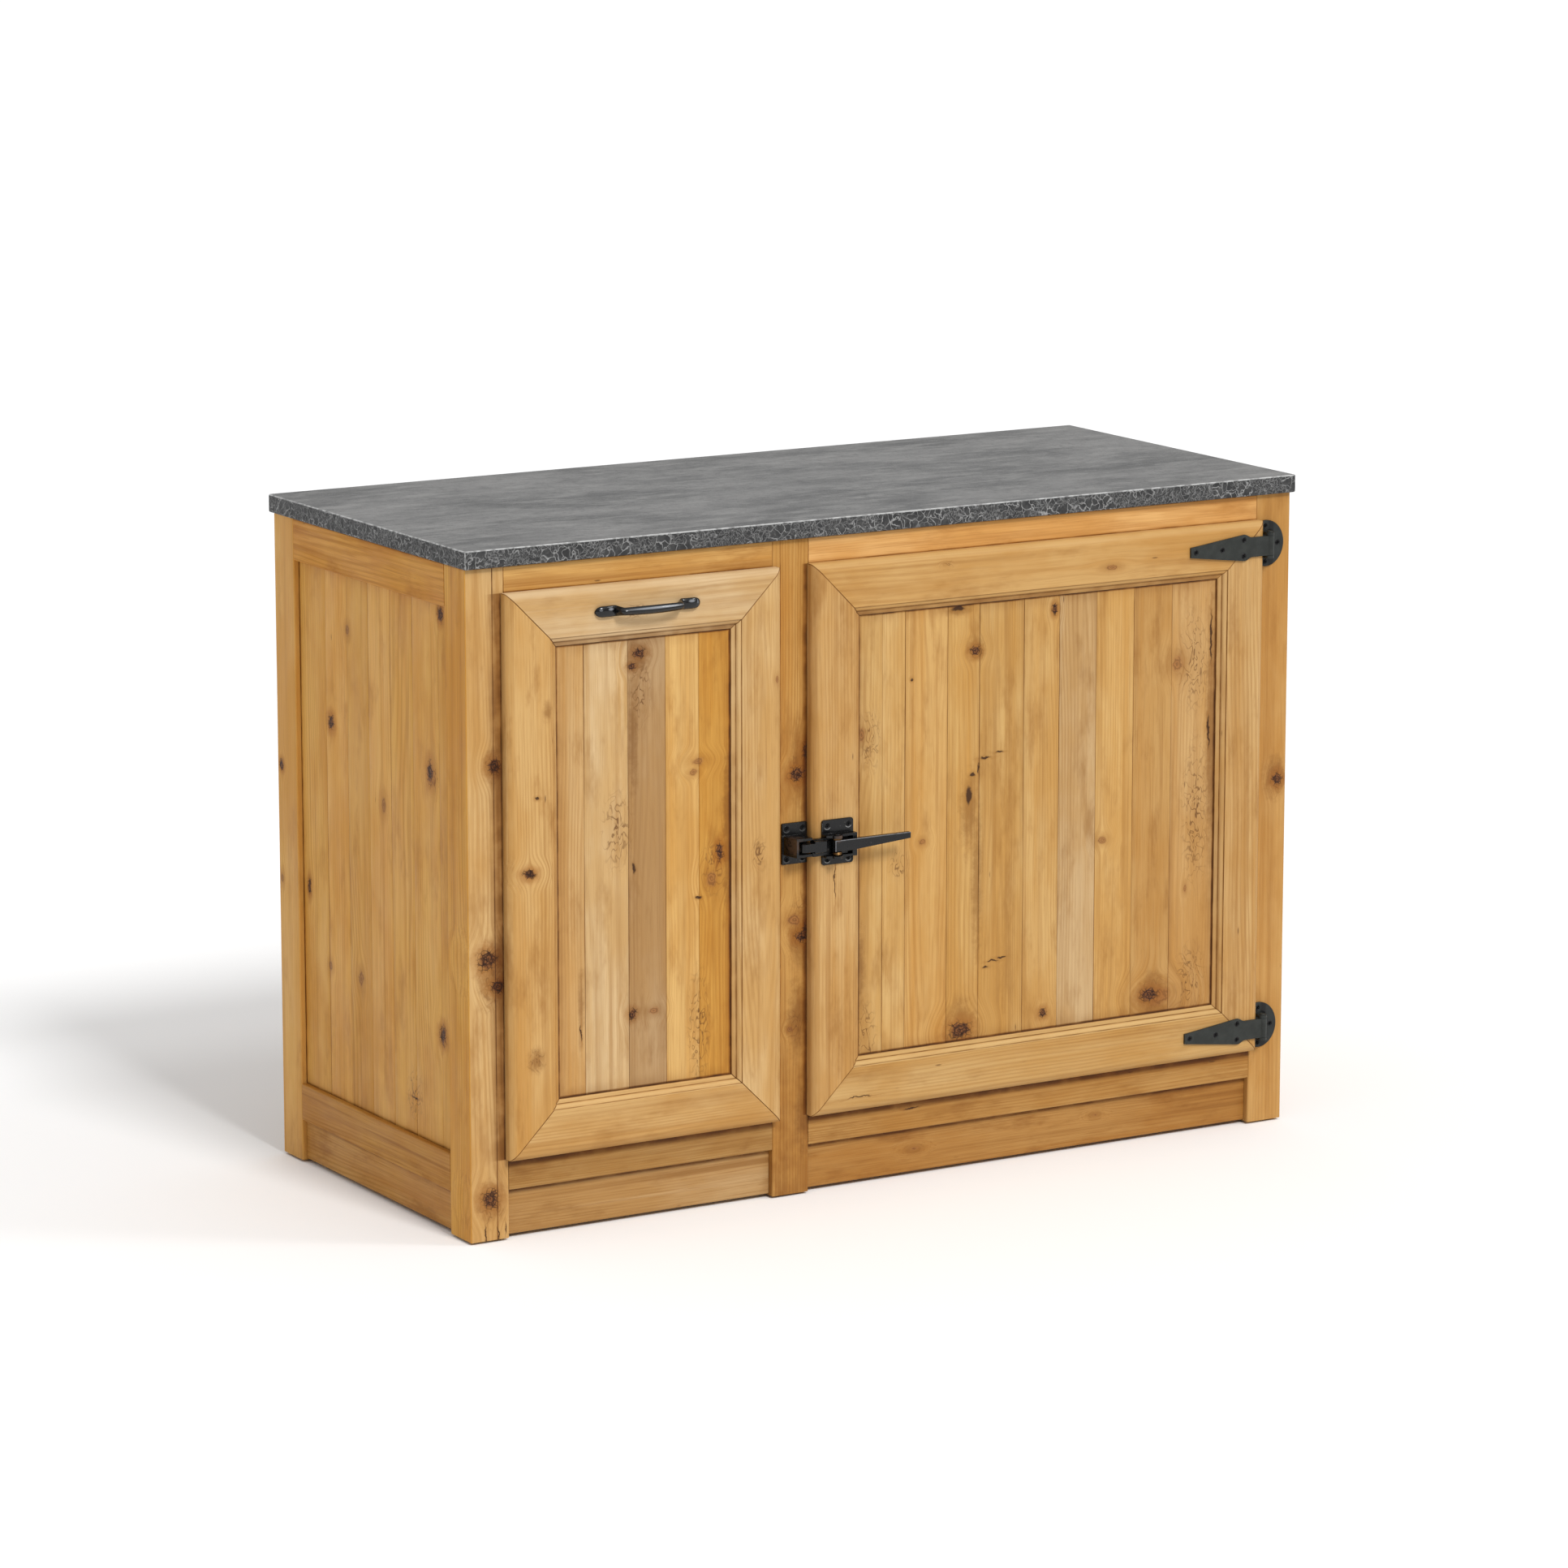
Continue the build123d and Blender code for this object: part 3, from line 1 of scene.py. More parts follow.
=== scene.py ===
"""Looks of a reclaimed pine base cabinet with a stone worktop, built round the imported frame.

Metres. X runs to the viewer's right, Y to the back, Z up, and the origin is on the floor.
"""

import json
import math

import bmesh
import bpy
import numpy as np
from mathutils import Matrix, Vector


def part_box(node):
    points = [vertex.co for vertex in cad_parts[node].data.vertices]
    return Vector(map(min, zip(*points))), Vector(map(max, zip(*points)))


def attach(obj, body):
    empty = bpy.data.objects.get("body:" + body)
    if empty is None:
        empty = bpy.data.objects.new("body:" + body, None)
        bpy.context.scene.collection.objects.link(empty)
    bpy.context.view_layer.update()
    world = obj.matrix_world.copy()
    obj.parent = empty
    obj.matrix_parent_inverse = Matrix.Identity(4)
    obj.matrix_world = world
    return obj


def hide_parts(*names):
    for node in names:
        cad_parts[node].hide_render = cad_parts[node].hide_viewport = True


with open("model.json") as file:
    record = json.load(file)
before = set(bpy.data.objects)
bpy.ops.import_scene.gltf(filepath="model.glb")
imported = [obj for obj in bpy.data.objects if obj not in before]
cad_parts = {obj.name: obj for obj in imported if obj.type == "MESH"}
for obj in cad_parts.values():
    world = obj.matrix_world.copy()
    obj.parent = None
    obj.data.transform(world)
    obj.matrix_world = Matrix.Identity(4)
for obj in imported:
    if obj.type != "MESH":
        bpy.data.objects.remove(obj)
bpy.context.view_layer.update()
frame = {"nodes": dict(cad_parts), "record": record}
nodes = frame["nodes"]
MM = 0.001

# Faces of the cabinet, as the frame gives them
FRONT_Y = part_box("post_front_left")[0].y
SIDE_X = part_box("post_front_left")[0].x
DOOR_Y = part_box("door_rail_top")[0].y
PANEL_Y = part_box("door_boards")[0].y
AXES = {"x": 0, "y": 1, "z": 2}

# The light that reaches a face across each axis, against a white card facing up
LIT = {"x": 0.70, "y": 1.11, "z": 1.02}

# How deep a knot or a stain goes, how dense the growth rings are, and how far is far from a mark
MARK_DEPTH = 0.022
RINGS_PER_METRE = 230.0
FAR_FROM_MARK = 9.0

# How far the rings of a board lean towards its face for each metre of its length
BOARD_LEAN = 0.02

# Between faces that turn by more than these degrees an edge is sharp
SHARP_ANGLE = 32


def srgb(red, green, blue):
    """A colour given as it looks on a screen, 0 to 255, as linear light."""
    value = np.array((red, green, blue)) / 255
    linear = np.where(value <= 0.04045, value / 12.92, ((value + 0.055) / 1.055) ** 2.4)
    return (*(float(v) for v in linear), 1.0)


class Finish:
    """A material under construction: each method adds one node and gives back its output."""

    def __init__(self, name):
        self.material = bpy.data.materials.new(name)
        self.material.use_nodes = True
        self.tree = self.material.node_tree
        self.tree.nodes.clear()
        self.surface = self.tree.nodes.new("ShaderNodeBsdfPrincipled")
        output = self.tree.nodes.new("ShaderNodeOutputMaterial")
        self.tree.links.new(self.surface.outputs[0], output.inputs["Surface"])
        self.point = self.tree.nodes.new("ShaderNodeTexCoord").outputs["Object"]

    def feed(self, socket, value):
        if isinstance(value, bpy.types.NodeSocket):
            self.tree.links.new(value, socket)
        else:
            socket.default_value = value

    def set(self, **values):
        """Sets the surface's own sockets, by their names with underscores for spaces."""
        for name, value in values.items():
            self.feed(self.surface.inputs[name.replace("_", " ")], value)

    def math(self, operation, *values):
        made = self.tree.nodes.new("ShaderNodeMath")
        made.operation = operation
        for socket, value in zip(made.inputs, values):
            self.feed(socket, value)
        return made.outputs[0]

    def times(self, first, second):
        return self.math("MULTIPLY", first, second)

    def raised(self, value, factor, more):
        """The value times the factor, and more."""
        return self.math("MULTIPLY_ADD", value, factor, more)

    def minus(self, first, second):
        return self.math("SUBTRACT", first, second)

    def most(self, first, second):
        return self.math("MAXIMUM", first, second)

    def least(self, first, second):
        return self.math("MINIMUM", first, second)

    def size(self, value):
        return self.math("ABSOLUTE", value)

    def vector(self, operation, *values, scale=None):
        made = self.tree.nodes.new("ShaderNodeVectorMath")
        made.operation = operation
        for socket, value in zip(made.inputs, values):
            self.feed(socket, value)
        if scale is not None:
            self.feed(made.inputs["Scale"], scale)
        return made.outputs["Value" if operation == "LENGTH" else "Vector"]

    def split(self, value):
        made = self.tree.nodes.new("ShaderNodeSeparateXYZ")
        self.feed(made.inputs[0], value)
        return made.outputs

    def ease(self, value, start, end, first=0.0, last=1.0):
        """Goes smoothly from first to last as the value goes from start to end."""
        made = self.tree.nodes.new("ShaderNodeMapRange")
        made.interpolation_type = "SMOOTHSTEP"
        for socket, number in zip(made.inputs, (value, start, end, first, last)):
            self.feed(socket, number)
        return made.outputs[0]

    def noise(self, value, detail, scale=1.0, roughness=0.5, colour=False):
        made = self.tree.nodes.new("ShaderNodeTexNoise")
        self.feed(made.inputs["Vector"], value)
        made.inputs["Scale"].default_value = scale
        made.inputs["Detail"].default_value = detail
        made.inputs["Roughness"].default_value = roughness
        return made.outputs["Color" if colour else 0]

    def stray(self, value, detail, reach, scale=1.0):
        """A vector that wanders by up to about half the reach to either side."""
        made = self.noise(value, detail, scale, colour=True)
        made = self.vector("SUBTRACT", made, (0.5, 0.5, 0.5))
        return self.vector("SCALE", made, scale=reach)

    def cells(self, value, scale=1.0, feature="F1"):
        made = self.tree.nodes.new("ShaderNodeTexVoronoi")
        made.feature = feature
        self.feed(made.inputs["Vector"], value)
        made.inputs["Scale"].default_value = scale
        return made.outputs

    def mix(self, share, first, second, blend="MIX"):
        made = self.tree.nodes.new("ShaderNodeMix")
        made.data_type = "RGBA"
        made.blend_type = blend
        for index, value in ((0, share), (6, first), (7, second)):
            self.feed(made.inputs[index], value)
        return made.outputs[2]

    def tinted(self, colour, *tint):
        """The colour times a tint of red, green and blue."""
        return self.mix(1.0, colour, (*tint, 1.0), "MULTIPLY")

    def layered(self, colour, *layers):
        """Lays colours over the first one in turn, each as (share, colour)."""
        for share, over in layers:
            colour = self.mix(share, colour, over)
        return colour

    def attribute(self, name, output="Vector"):
        made = self.tree.nodes.new("ShaderNodeAttribute")
        made.attribute_name = name
        return made.outputs[output]

    def bump(self, height, depth, strength):
        made = self.tree.nodes.new("ShaderNodeBump")
        made.inputs["Strength"].default_value = strength
        made.inputs["Distance"].default_value = depth
        self.feed(made.inputs["Height"], height)
        self.feed(self.surface.inputs["Normal"], made.outputs[0])


# Pine


def mark_place(mark, face, plane):
    """The middle and the half sizes of a mark's ellipsoid, in metres.

    A mark is (across, height, half width, half height) in millimetres on a face that lies
    across the X or the Y axis.
    """
    across, height, half_width, half_height = (number * MM for number in mark)
    if face == "x":
        return (plane, across, height), (MARK_DEPTH, half_width, half_height)
    return (across, plane, height), (half_width, MARK_DEPTH, half_height)


def mark_field(finish, point, marks, face, plane):
    """How far a point is from the nearest mark, in mark radii, and the grain's push round them.

    The distance is the length of the offset divided by the half sizes, and the push is the
    offset times a share that fades from the mark's edge outwards.
    """
    nearest, pushed = FAR_FROM_MARK, None
    for mark in marks:
        middle, size = mark_place(mark, face, plane)
        offset = finish.vector("SUBTRACT", point, middle)
        scaled = finish.vector("MULTIPLY", offset, [1 / s for s in size])
        distance = finish.vector("LENGTH", scaled)
        nearest = finish.least(distance, nearest)
        share = finish.ease(distance, 0.6, 4.5, 0.85, 0.0)
        push = finish.vector("SCALE", offset, scale=share)
        pushed = push if pushed is None else finish.vector("ADD", pushed, push)
    return nearest, pushed


def pine(
    name,
    tone,
    grain="z",
    face="y",
    plane=FRONT_Y,
    pith=(0.2, 0.15),
    lean=0.01,
    shift=(0.0, 0.0, 0.0),
    contrast=1.0,
    boards=False,
    knots=(),
    pale_knots=(),
    cracks=(),
    stains=(),
    swirls=(),
    dirt_and_shade=None,
    weathered=0.0,
    turned=None,
    wear_and_highlight_edge=None,
):
    """Waxed reclaimed pine: growth rings round a pith line, fibres, knots and old marks.

    The rings are the distance from a line along the grain that leans a little to the face, so
    that they show as straight lines or as long arches. The tone is the colour as it looks
    under the studio light, which is divided by the light that the face gets.
    """
    finish = Finish(name)
    along = AXES[grain]
    through = AXES[face]
    side = 3 - along - through
    point = finish.point
    knot_near, knot_push = mark_field(finish, point, knots, face, plane)
    pale_near, pale_push = mark_field(finish, point, pale_knots, face, plane)
    swirl_near, _ = mark_field(finish, point, swirls, face, plane)

    # Each board and member starts somewhere else in the tree
    bent = point
    for push in (knot_push, pale_push):
        if push is not None:
            bent = finish.vector("SUBTRACT", bent, push)
    bent = finish.vector("ADD", bent, list(shift))
    placed = finish.vector("ADD", point, list(shift))
    if boards:
        bent = finish.vector("ADD", bent, finish.attribute("shift"))
        placed = finish.vector("ADD", placed, finish.attribute("shift"))

    def stretched(value, across_scale, along_scale):
        scale = [across_scale] * 3
        scale[along] = along_scale
        return finish.vector("MULTIPLY", value, scale)

    # Growth rings
    ringed = finish.vector("ADD", bent, finish.stray(stretched(bent, 8, 1.5), 2, 0.03))
    if swirls:
        swirl = finish.ease(swirl_near, 0.1, 1.15, 1.0, 0.0)
        curl = finish.stray(stretched(placed, 60, 26), 1, finish.times(swirl, 0.05))
        ringed = finish.vector("ADD", ringed, curl)
    if boards:
        pith_point = finish.vector("SUBTRACT", ringed, finish.attribute("pith"))
    else:
        centre = [0.0, 0.0, 0.0]
        centre[side] = pith[0] + shift[side]
        centre[through] = pith[1] + shift[through]
        pith_point = finish.vector("SUBTRACT", ringed, centre)
    keep = [1.0, 1.0, 1.0]
    keep[along] = 0.0
    rod = finish.vector("MULTIPLY", pith_point, keep)
    tilt = [0.0, 0.0, 0.0]
    tilt[through] = lean
    rod = finish.vector("ADD", rod, finish.vector("SCALE", tilt, scale=finish.split(placed)[along]))
    radius = finish.vector("LENGTH", rod)
    spread = finish.vector("SCALE", finish.vector("ADD", rod, (3.1, 0, 0)), scale=26)
    uneven = finish.noise(spread, detail=1)
    rings = finish.raised(radius, RINGS_PER_METRE, finish.times(uneven, 4.0))
    wave = finish.math("SINE", finish.times(rings, math.tau))
    late = finish.math("POWER", finish.ease(wave, -1.0, 1.0), 2.0)
    fade = finish.noise(stretched(placed, 15, 2.4), detail=2)
    late = finish.times(late, finish.ease(fade, 0.35, 0.68, 0.1, 1.0))

    # Fibres, streaks and blotches of the wax
    fibre = finish.noise(stretched(bent, 900, 16), detail=2, roughness=0.6)
    band = finish.noise(stretched(bent, 90, 1.3), detail=3, roughness=0.6)
    streak = finish.noise(stretched(bent, 34, 1.0), detail=3, roughness=0.6)
    blotch = finish.noise(stretched(placed, 10, 4.0), detail=4, roughness=0.62)
    cloud = finish.noise(stretched(placed, 30, 9), detail=4, roughness=0.65)

    if boards:
        base = finish.attribute("tint", "Color")
    else:
        base = (*(v / LIT[face] for v in srgb(*tone)[:3]), 1.0)
    # Painted shade: on the post's left face, turned from the light, the tone gets a deeper and more
    # saturated copy of itself.
    if turned:
        round_side = finish.ease(finish.split(point)[0], SIDE_X + 0.0002, SIDE_X + 0.0014, 1.0, 0.0)
        deeper = tuple(first * second for first, second in zip(base, (*turned, 1.0)))
        base = finish.mix(round_side, base, deeper)
    dark = finish.tinted(base, 0.60, 0.46, 0.30)
    warm = finish.tinted(base, 0.90, 0.76, 0.52)
    pale = finish.tinted(base, 1.14, 1.22, 1.42)
    colour = finish.layered(
        warm,
        (finish.ease(blotch, 0.36, 0.64), pale),
        (0.40, base),
        (finish.ease(streak, 0.46, 0.72, 0.0, min(0.9, 0.55 * contrast)), warm),
        (finish.ease(band, 0.50, 0.76, 0.0, min(0.8, 0.40 * contrast)), dark),
        (finish.ease(band, 0.46, 0.25, 0.0, 0.30 * contrast), pale),
        (finish.ease(cloud, 0.50, 0.76, 0.0, min(0.8, 0.48 * contrast)), dark),
        (finish.times(late, min(0.38, 0.30 * contrast)), dark),
        (finish.ease(fibre, 0.45, 0.8, 0.0, 0.30 * contrast), dark),
    )
    if weathered:
        washed = finish.noise(stretched(placed, 60, 2.0), detail=2)
        grey = finish.tinted(base, 0.74, 0.74, 0.80)
        colour = finish.mix(finish.ease(washed, 0.35, 0.7, 0.0, weathered), colour, grey)

    # Paler along the given edges: partly wear, and partly a painted highlight on a rounded arris and on a
    # moulding's bead.
    if wear_and_highlight_edge is not None:
        wear_and_highlight = finish.times(wear_and_highlight_edge(finish, point), finish.ease(cloud, 0.3, 0.6, 0.5, 1.0))
        colour = finish.mix(wear_and_highlight, colour, finish.tinted(base, 1.16, 1.24, 1.42))

    # Flecks: thin dark ticks along the grain, here and there
    ticks = finish.cells(stretched(placed, 70, 15))
    tick = finish.times(
        finish.ease(ticks["Distance"], 0.03, 0.10, 1.0, 0.0),
        finish.ease(finish.split(ticks["Color"])[0], 0.84, 0.88),
    )
    colour = finish.mix(finish.times(tick, 0.65), colour, srgb(84, 50, 24))
    ragged = finish.minus(finish.noise(placed, scale=95, detail=3, roughness=0.65), 0.5)
    hollow = tick

    if swirls:
        lines = finish.noise(stretched(ringed, 110, 62), detail=1)
        lines = finish.size(finish.minus(lines, 0.5))
        scribble = finish.times(finish.ease(lines, 0.0, 0.05, 1.0, 0.0), swirl)
        colour = finish.layered(
            colour, (finish.times(swirl, 0.26), dark), (finish.times(scribble, 0.82), srgb(94, 57, 28))
        )
    if stains:
        near, _ = mark_field(finish, point, stains, face, plane)
        near = finish.raised(ragged, 1.4, near)
        cover = finish.ease(near, 0.1, 1.25, 0.7, 0.0)
        colour = finish.mix(cover, colour, finish.mix(0.35, dark, srgb(92, 56, 28)))

    def knotted(colour, near, halo, halo_ends, whorls, pale_ring, dark_ring, core_ends):
        """The colour with the halo of a knot and its whorled core over it."""
        whorl = finish.math("SINE", finish.times(near, whorls))
        core = finish.mix(finish.ease(whorl, -1.0, 1.0), srgb(*pale_ring), srgb(*dark_ring))
        return finish.layered(
            colour, (finish.ease(near, *halo_ends, 0.0), halo), (finish.ease(near, *core_ends, 0.0), core)
        )

    if pale_knots:
        near = finish.raised(ragged, 1.3, pale_near)
        rings = (14.0, (152, 100, 54), (112, 68, 36))
        colour = knotted(colour, near, dark, (0.9, 2.6, 0.40), *rings, (0.5, 1.1, 0.7))
    if knots:
        near = finish.raised(ragged, 1.25, knot_near)
        halo = finish.tinted(base, 0.56, 0.37, 0.20)
        rings = (15.0, (112, 68, 38), (58, 32, 18))
        colour = knotted(colour, near, halo, (0.8, 2.6, 0.72), *rings, (0.62, 1.02, 0.92))
        split = finish.cells(placed, 150, "DISTANCE_TO_EDGE")["Distance"]
        split = finish.ease(split, 0.02, 0.10, 0.9, 0.0)
        split = finish.times(split, finish.ease(near, 0.7, 1.5, 1.0, 0.0))
        colour = finish.mix(split, colour, srgb(40, 22, 13))
        hollow = finish.most(hollow, split)
    if cracks:
        wander = finish.vector("ADD", point, finish.stray(placed, 3, 0.011, scale=75))
        near, _ = mark_field(finish, wander, cracks, face, plane)
        crack = finish.ease(near, 0.55, 1.1, 0.92, 0.0)
        colour = finish.mix(finish.ease(near, 0.8, 2.6, 0.45, 0.0), colour, dark)
        colour = finish.mix(crack, colour, srgb(54, 30, 16))
        hollow = finish.most(hollow, crack)
    # Dirt, and painted shade beside raised parts and under overhangs, darken the wood to a darker copy of
    # itself and then towards dark brown.
    if dirt_and_shade is not None:
        darkening = dirt_and_shade(finish, point)
        patchy = finish.noise(placed, scale=30, detail=3)
        darkening = finish.times(darkening, finish.ease(patchy, 0.3, 0.62, 0.62, 1.0))
        darkened = finish.tinted(colour, 0.48, 0.35, 0.22)
        colour = finish.mix(finish.ease(darkening, 0.0, 0.62), colour, darkened)
        colour = finish.mix(finish.ease(darkening, 0.4, 1.0), colour, srgb(70, 40, 18))

    # Wax over open fibres
    height = finish.raised(late, -0.35, finish.times(fibre, 0.5))
    height = finish.raised(hollow, -1.6, height)
    finish.bump(height, 0.00035, 0.6)
    sheen = finish.noise(stretched(placed, 30, 8), detail=2)
    rough = finish.ease(sheen, 0.3, 0.7, 0.42, 0.58)
    rough = finish.raised(late, 0.06, rough)
    finish.set(Base_Color=colour, Roughness=rough, IOR=1.45, Specular_IOR_Level=0.22)
    return finish.material


# Dirt along joints, and painted shade along edges, in recesses and under overhangs: each gives a function
# of the point, from 0 to 1


def near_border(low, high, reach, most, axes="xz", front=None):
    """Dirt and painted shade along the inside of a rectangle, where a frame overhangs boards: 1 at its
    border, fading over a short reach.

    With a front it keeps to the side that faces the room.
    """

    def field(finish, point):
        parts = finish.split(point)
        closest = 1.0
        for index, axis in enumerate(axes):
            value = parts[AXES[axis]]
            after = finish.minus(value, low[index])
            before = finish.minus(high[index], value)
            closest = finish.least(finish.least(after, before), closest)
        narrow = finish.ease(closest, 0.0, reach, most, 0.0)
        wide = finish.ease(closest, 0.0, reach * 5, most * 0.26, 0.0)
        darkening = finish.most(narrow, wide)
        if front is not None:
            shown = finish.ease(parts[1], front + 0.003, front + 0.006, 1.0, 0.25)
            darkening = finish.times(darkening, shown)
        return darkening

    return field


def moulding_shade_and_mitres(side, x, z):
    """Painted shade in the steps of a moulding, and dark mitre lines at both ends of a front's member.

    The inset is how far a point is from the front's outer edge, and a mitre is where the inset
    equals the distance from the member's end.
    """
    # Painted shade in the moulding's quirks, as (inset, reach, strength), and a painted shade band inside
    # the moulding that is darkest on the top rail, which faces down, and none on the bottom rail.
    steps = ((0.0612, 0.0009, 0.5), (0.0673, 0.0010, 0.62), (0.0735, 0.0018, 0.85))
    deep = {"top": 0.42, "right": 0.22, "left": 0.22, "bottom": 0.0}[side]

    def field(finish, point):
        parts = finish.split(point)
        left = finish.minus(parts[0], x[0])
        right = finish.minus(x[1], parts[0])
        low = finish.minus(parts[2], z[0])
        high = finish.minus(z[1], parts[2])
        inset = {"left": left, "right": right, "top": high, "bottom": low}[side]
        ends = (low, high) if side in ("left", "right") else (left, right)
        darkening = finish.ease(inset, 0.0645, 0.0668, 0.0, deep)
        for place, reach, most in steps:
            off = finish.size(finish.minus(inset, place))
            darkening = finish.most(finish.ease(off, 0.0, reach, most, 0.0), darkening)
        for end in ends:
            off = finish.size(finish.minus(inset, end))
            darkening = finish.most(finish.ease(off, 0.0003, 0.0014, 0.75, 0.0), darkening)
        return darkening

    return field


def stripe(axis, place, half, most):
    """A thin dark line across one axis, such as a glue line; on the hinge plate it is a painted shadow."""

    def field(finish, point):
        off = finish.minus(finish.split(point)[AXES[axis]], place)
        return finish.ease(finish.size(off), half * 0.4, half, most, 0.0)

    return field


def shade_line(axis, place, reach, most, low=None, high=None):
    """A darkening that starts at a place on an axis and fades over a reach, towards either side: mostly
    painted shade beside a raised part or under an overhang; it also masks painted highlights.

    A negative reach fades the other way. The low and high ends cut it off in height.
    """

    def field(finish, point):
        parts = finish.split(point)
        offset = finish.minus(parts[AXES[axis]], place)
        if reach < 0:
            offset = finish.times(offset, -1.0)
        size = abs(reach)
        darkening = finish.ease(offset, size * 0.08, size, most, 0.0)
        darkening = finish.times(darkening, finish.ease(offset, -0.0006, 0.0, 0.0, 1.0))
        if low is not None:
            darkening = finish.times(darkening, finish.ease(parts[2], low - 0.001, low + 0.001))
            darkening = finish.times(darkening, finish.ease(parts[2], high + 0.001, high - 0.001))
        return darkening

    return field


def joined(*fields):
    """Dirt and painted shade: the darkest of several fields."""

    def field(finish, point):
        darkening = 0.0
        for one in fields:
            darkening = finish.most(one(finish, point), darkening)
        return darkening

    return field


def board_joint(finish, point):
    """Dirt in the joints between boards, from each board's own distance to its edge."""
    edge = finish.attribute("edge", "Fac")
    parts = finish.vector("MULTIPLY", finish.vector("ADD", point, finish.attribute("shift")), (20, 20, 3.5))
    worn = finish.ease(finish.noise(parts, detail=2), 0.38, 0.66, 0.12, 0.62)
    fine = finish.times(finish.ease(edge, 0.0001, 0.0010), -1.0)
    fine = finish.times(finish.math("ADD", fine, 1.0), worn)
    return finish.most(fine, finish.ease(edge, 0.0, 0.007, 0.12, 0.0))


# Meshes


def body_of(name):
    for body, members in frame["record"]["behaviour"]["bodies"].items():
        if name in members:
            return body
    return None


def stand_in(name, mesh, material, node, sharp):
    """A piece in a node's place: smooth, sharp where its faces turn by the angle in degrees."""
    mesh.polygons.foreach_set("use_smooth", np.ones(len(mesh.polygons), bool))
    mesh.set_sharp_from_angle(angle=math.radians(sharp))
    mesh.materials.clear()
    mesh.materials.append(material)
    piece = bpy.data.objects.new(name, mesh)
    bpy.context.scene.collection.objects.link(piece)
    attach(piece, body_of(node))
    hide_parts(node)
    return piece


def new_piece(name, points, faces, material, node, sharp=35):
    """A piece from its points and faces, in a node's place."""
    mesh = bpy.data.meshes.new(name)
    mesh.from_pydata(points.reshape(-1, 3).tolist(), [], faces)
    return stand_in(name, mesh, material, node, sharp)


def skin_faces(rings, around, flip, start=0):
    """Quads between closed rings of points, with a face on each end."""
    row, column = np.meshgrid(np.arange(rings - 1), np.arange(around), indexing="ij")
    after = (column + 1) % around
    here, above = row * around, (row + 1) * around
    quads = np.stack((here + column, here + after, above + after, above + column), axis=-1)
    quads = quads.reshape(-1, 4)
    faces = (quads + start).tolist()
    first = (np.arange(around)[::-1] + start).tolist()
    last = (np.arange(around) + (rings - 1) * around + start).tolist()
    faces += [first, last]
    return [face[::-1] for face in faces] if flip else faces


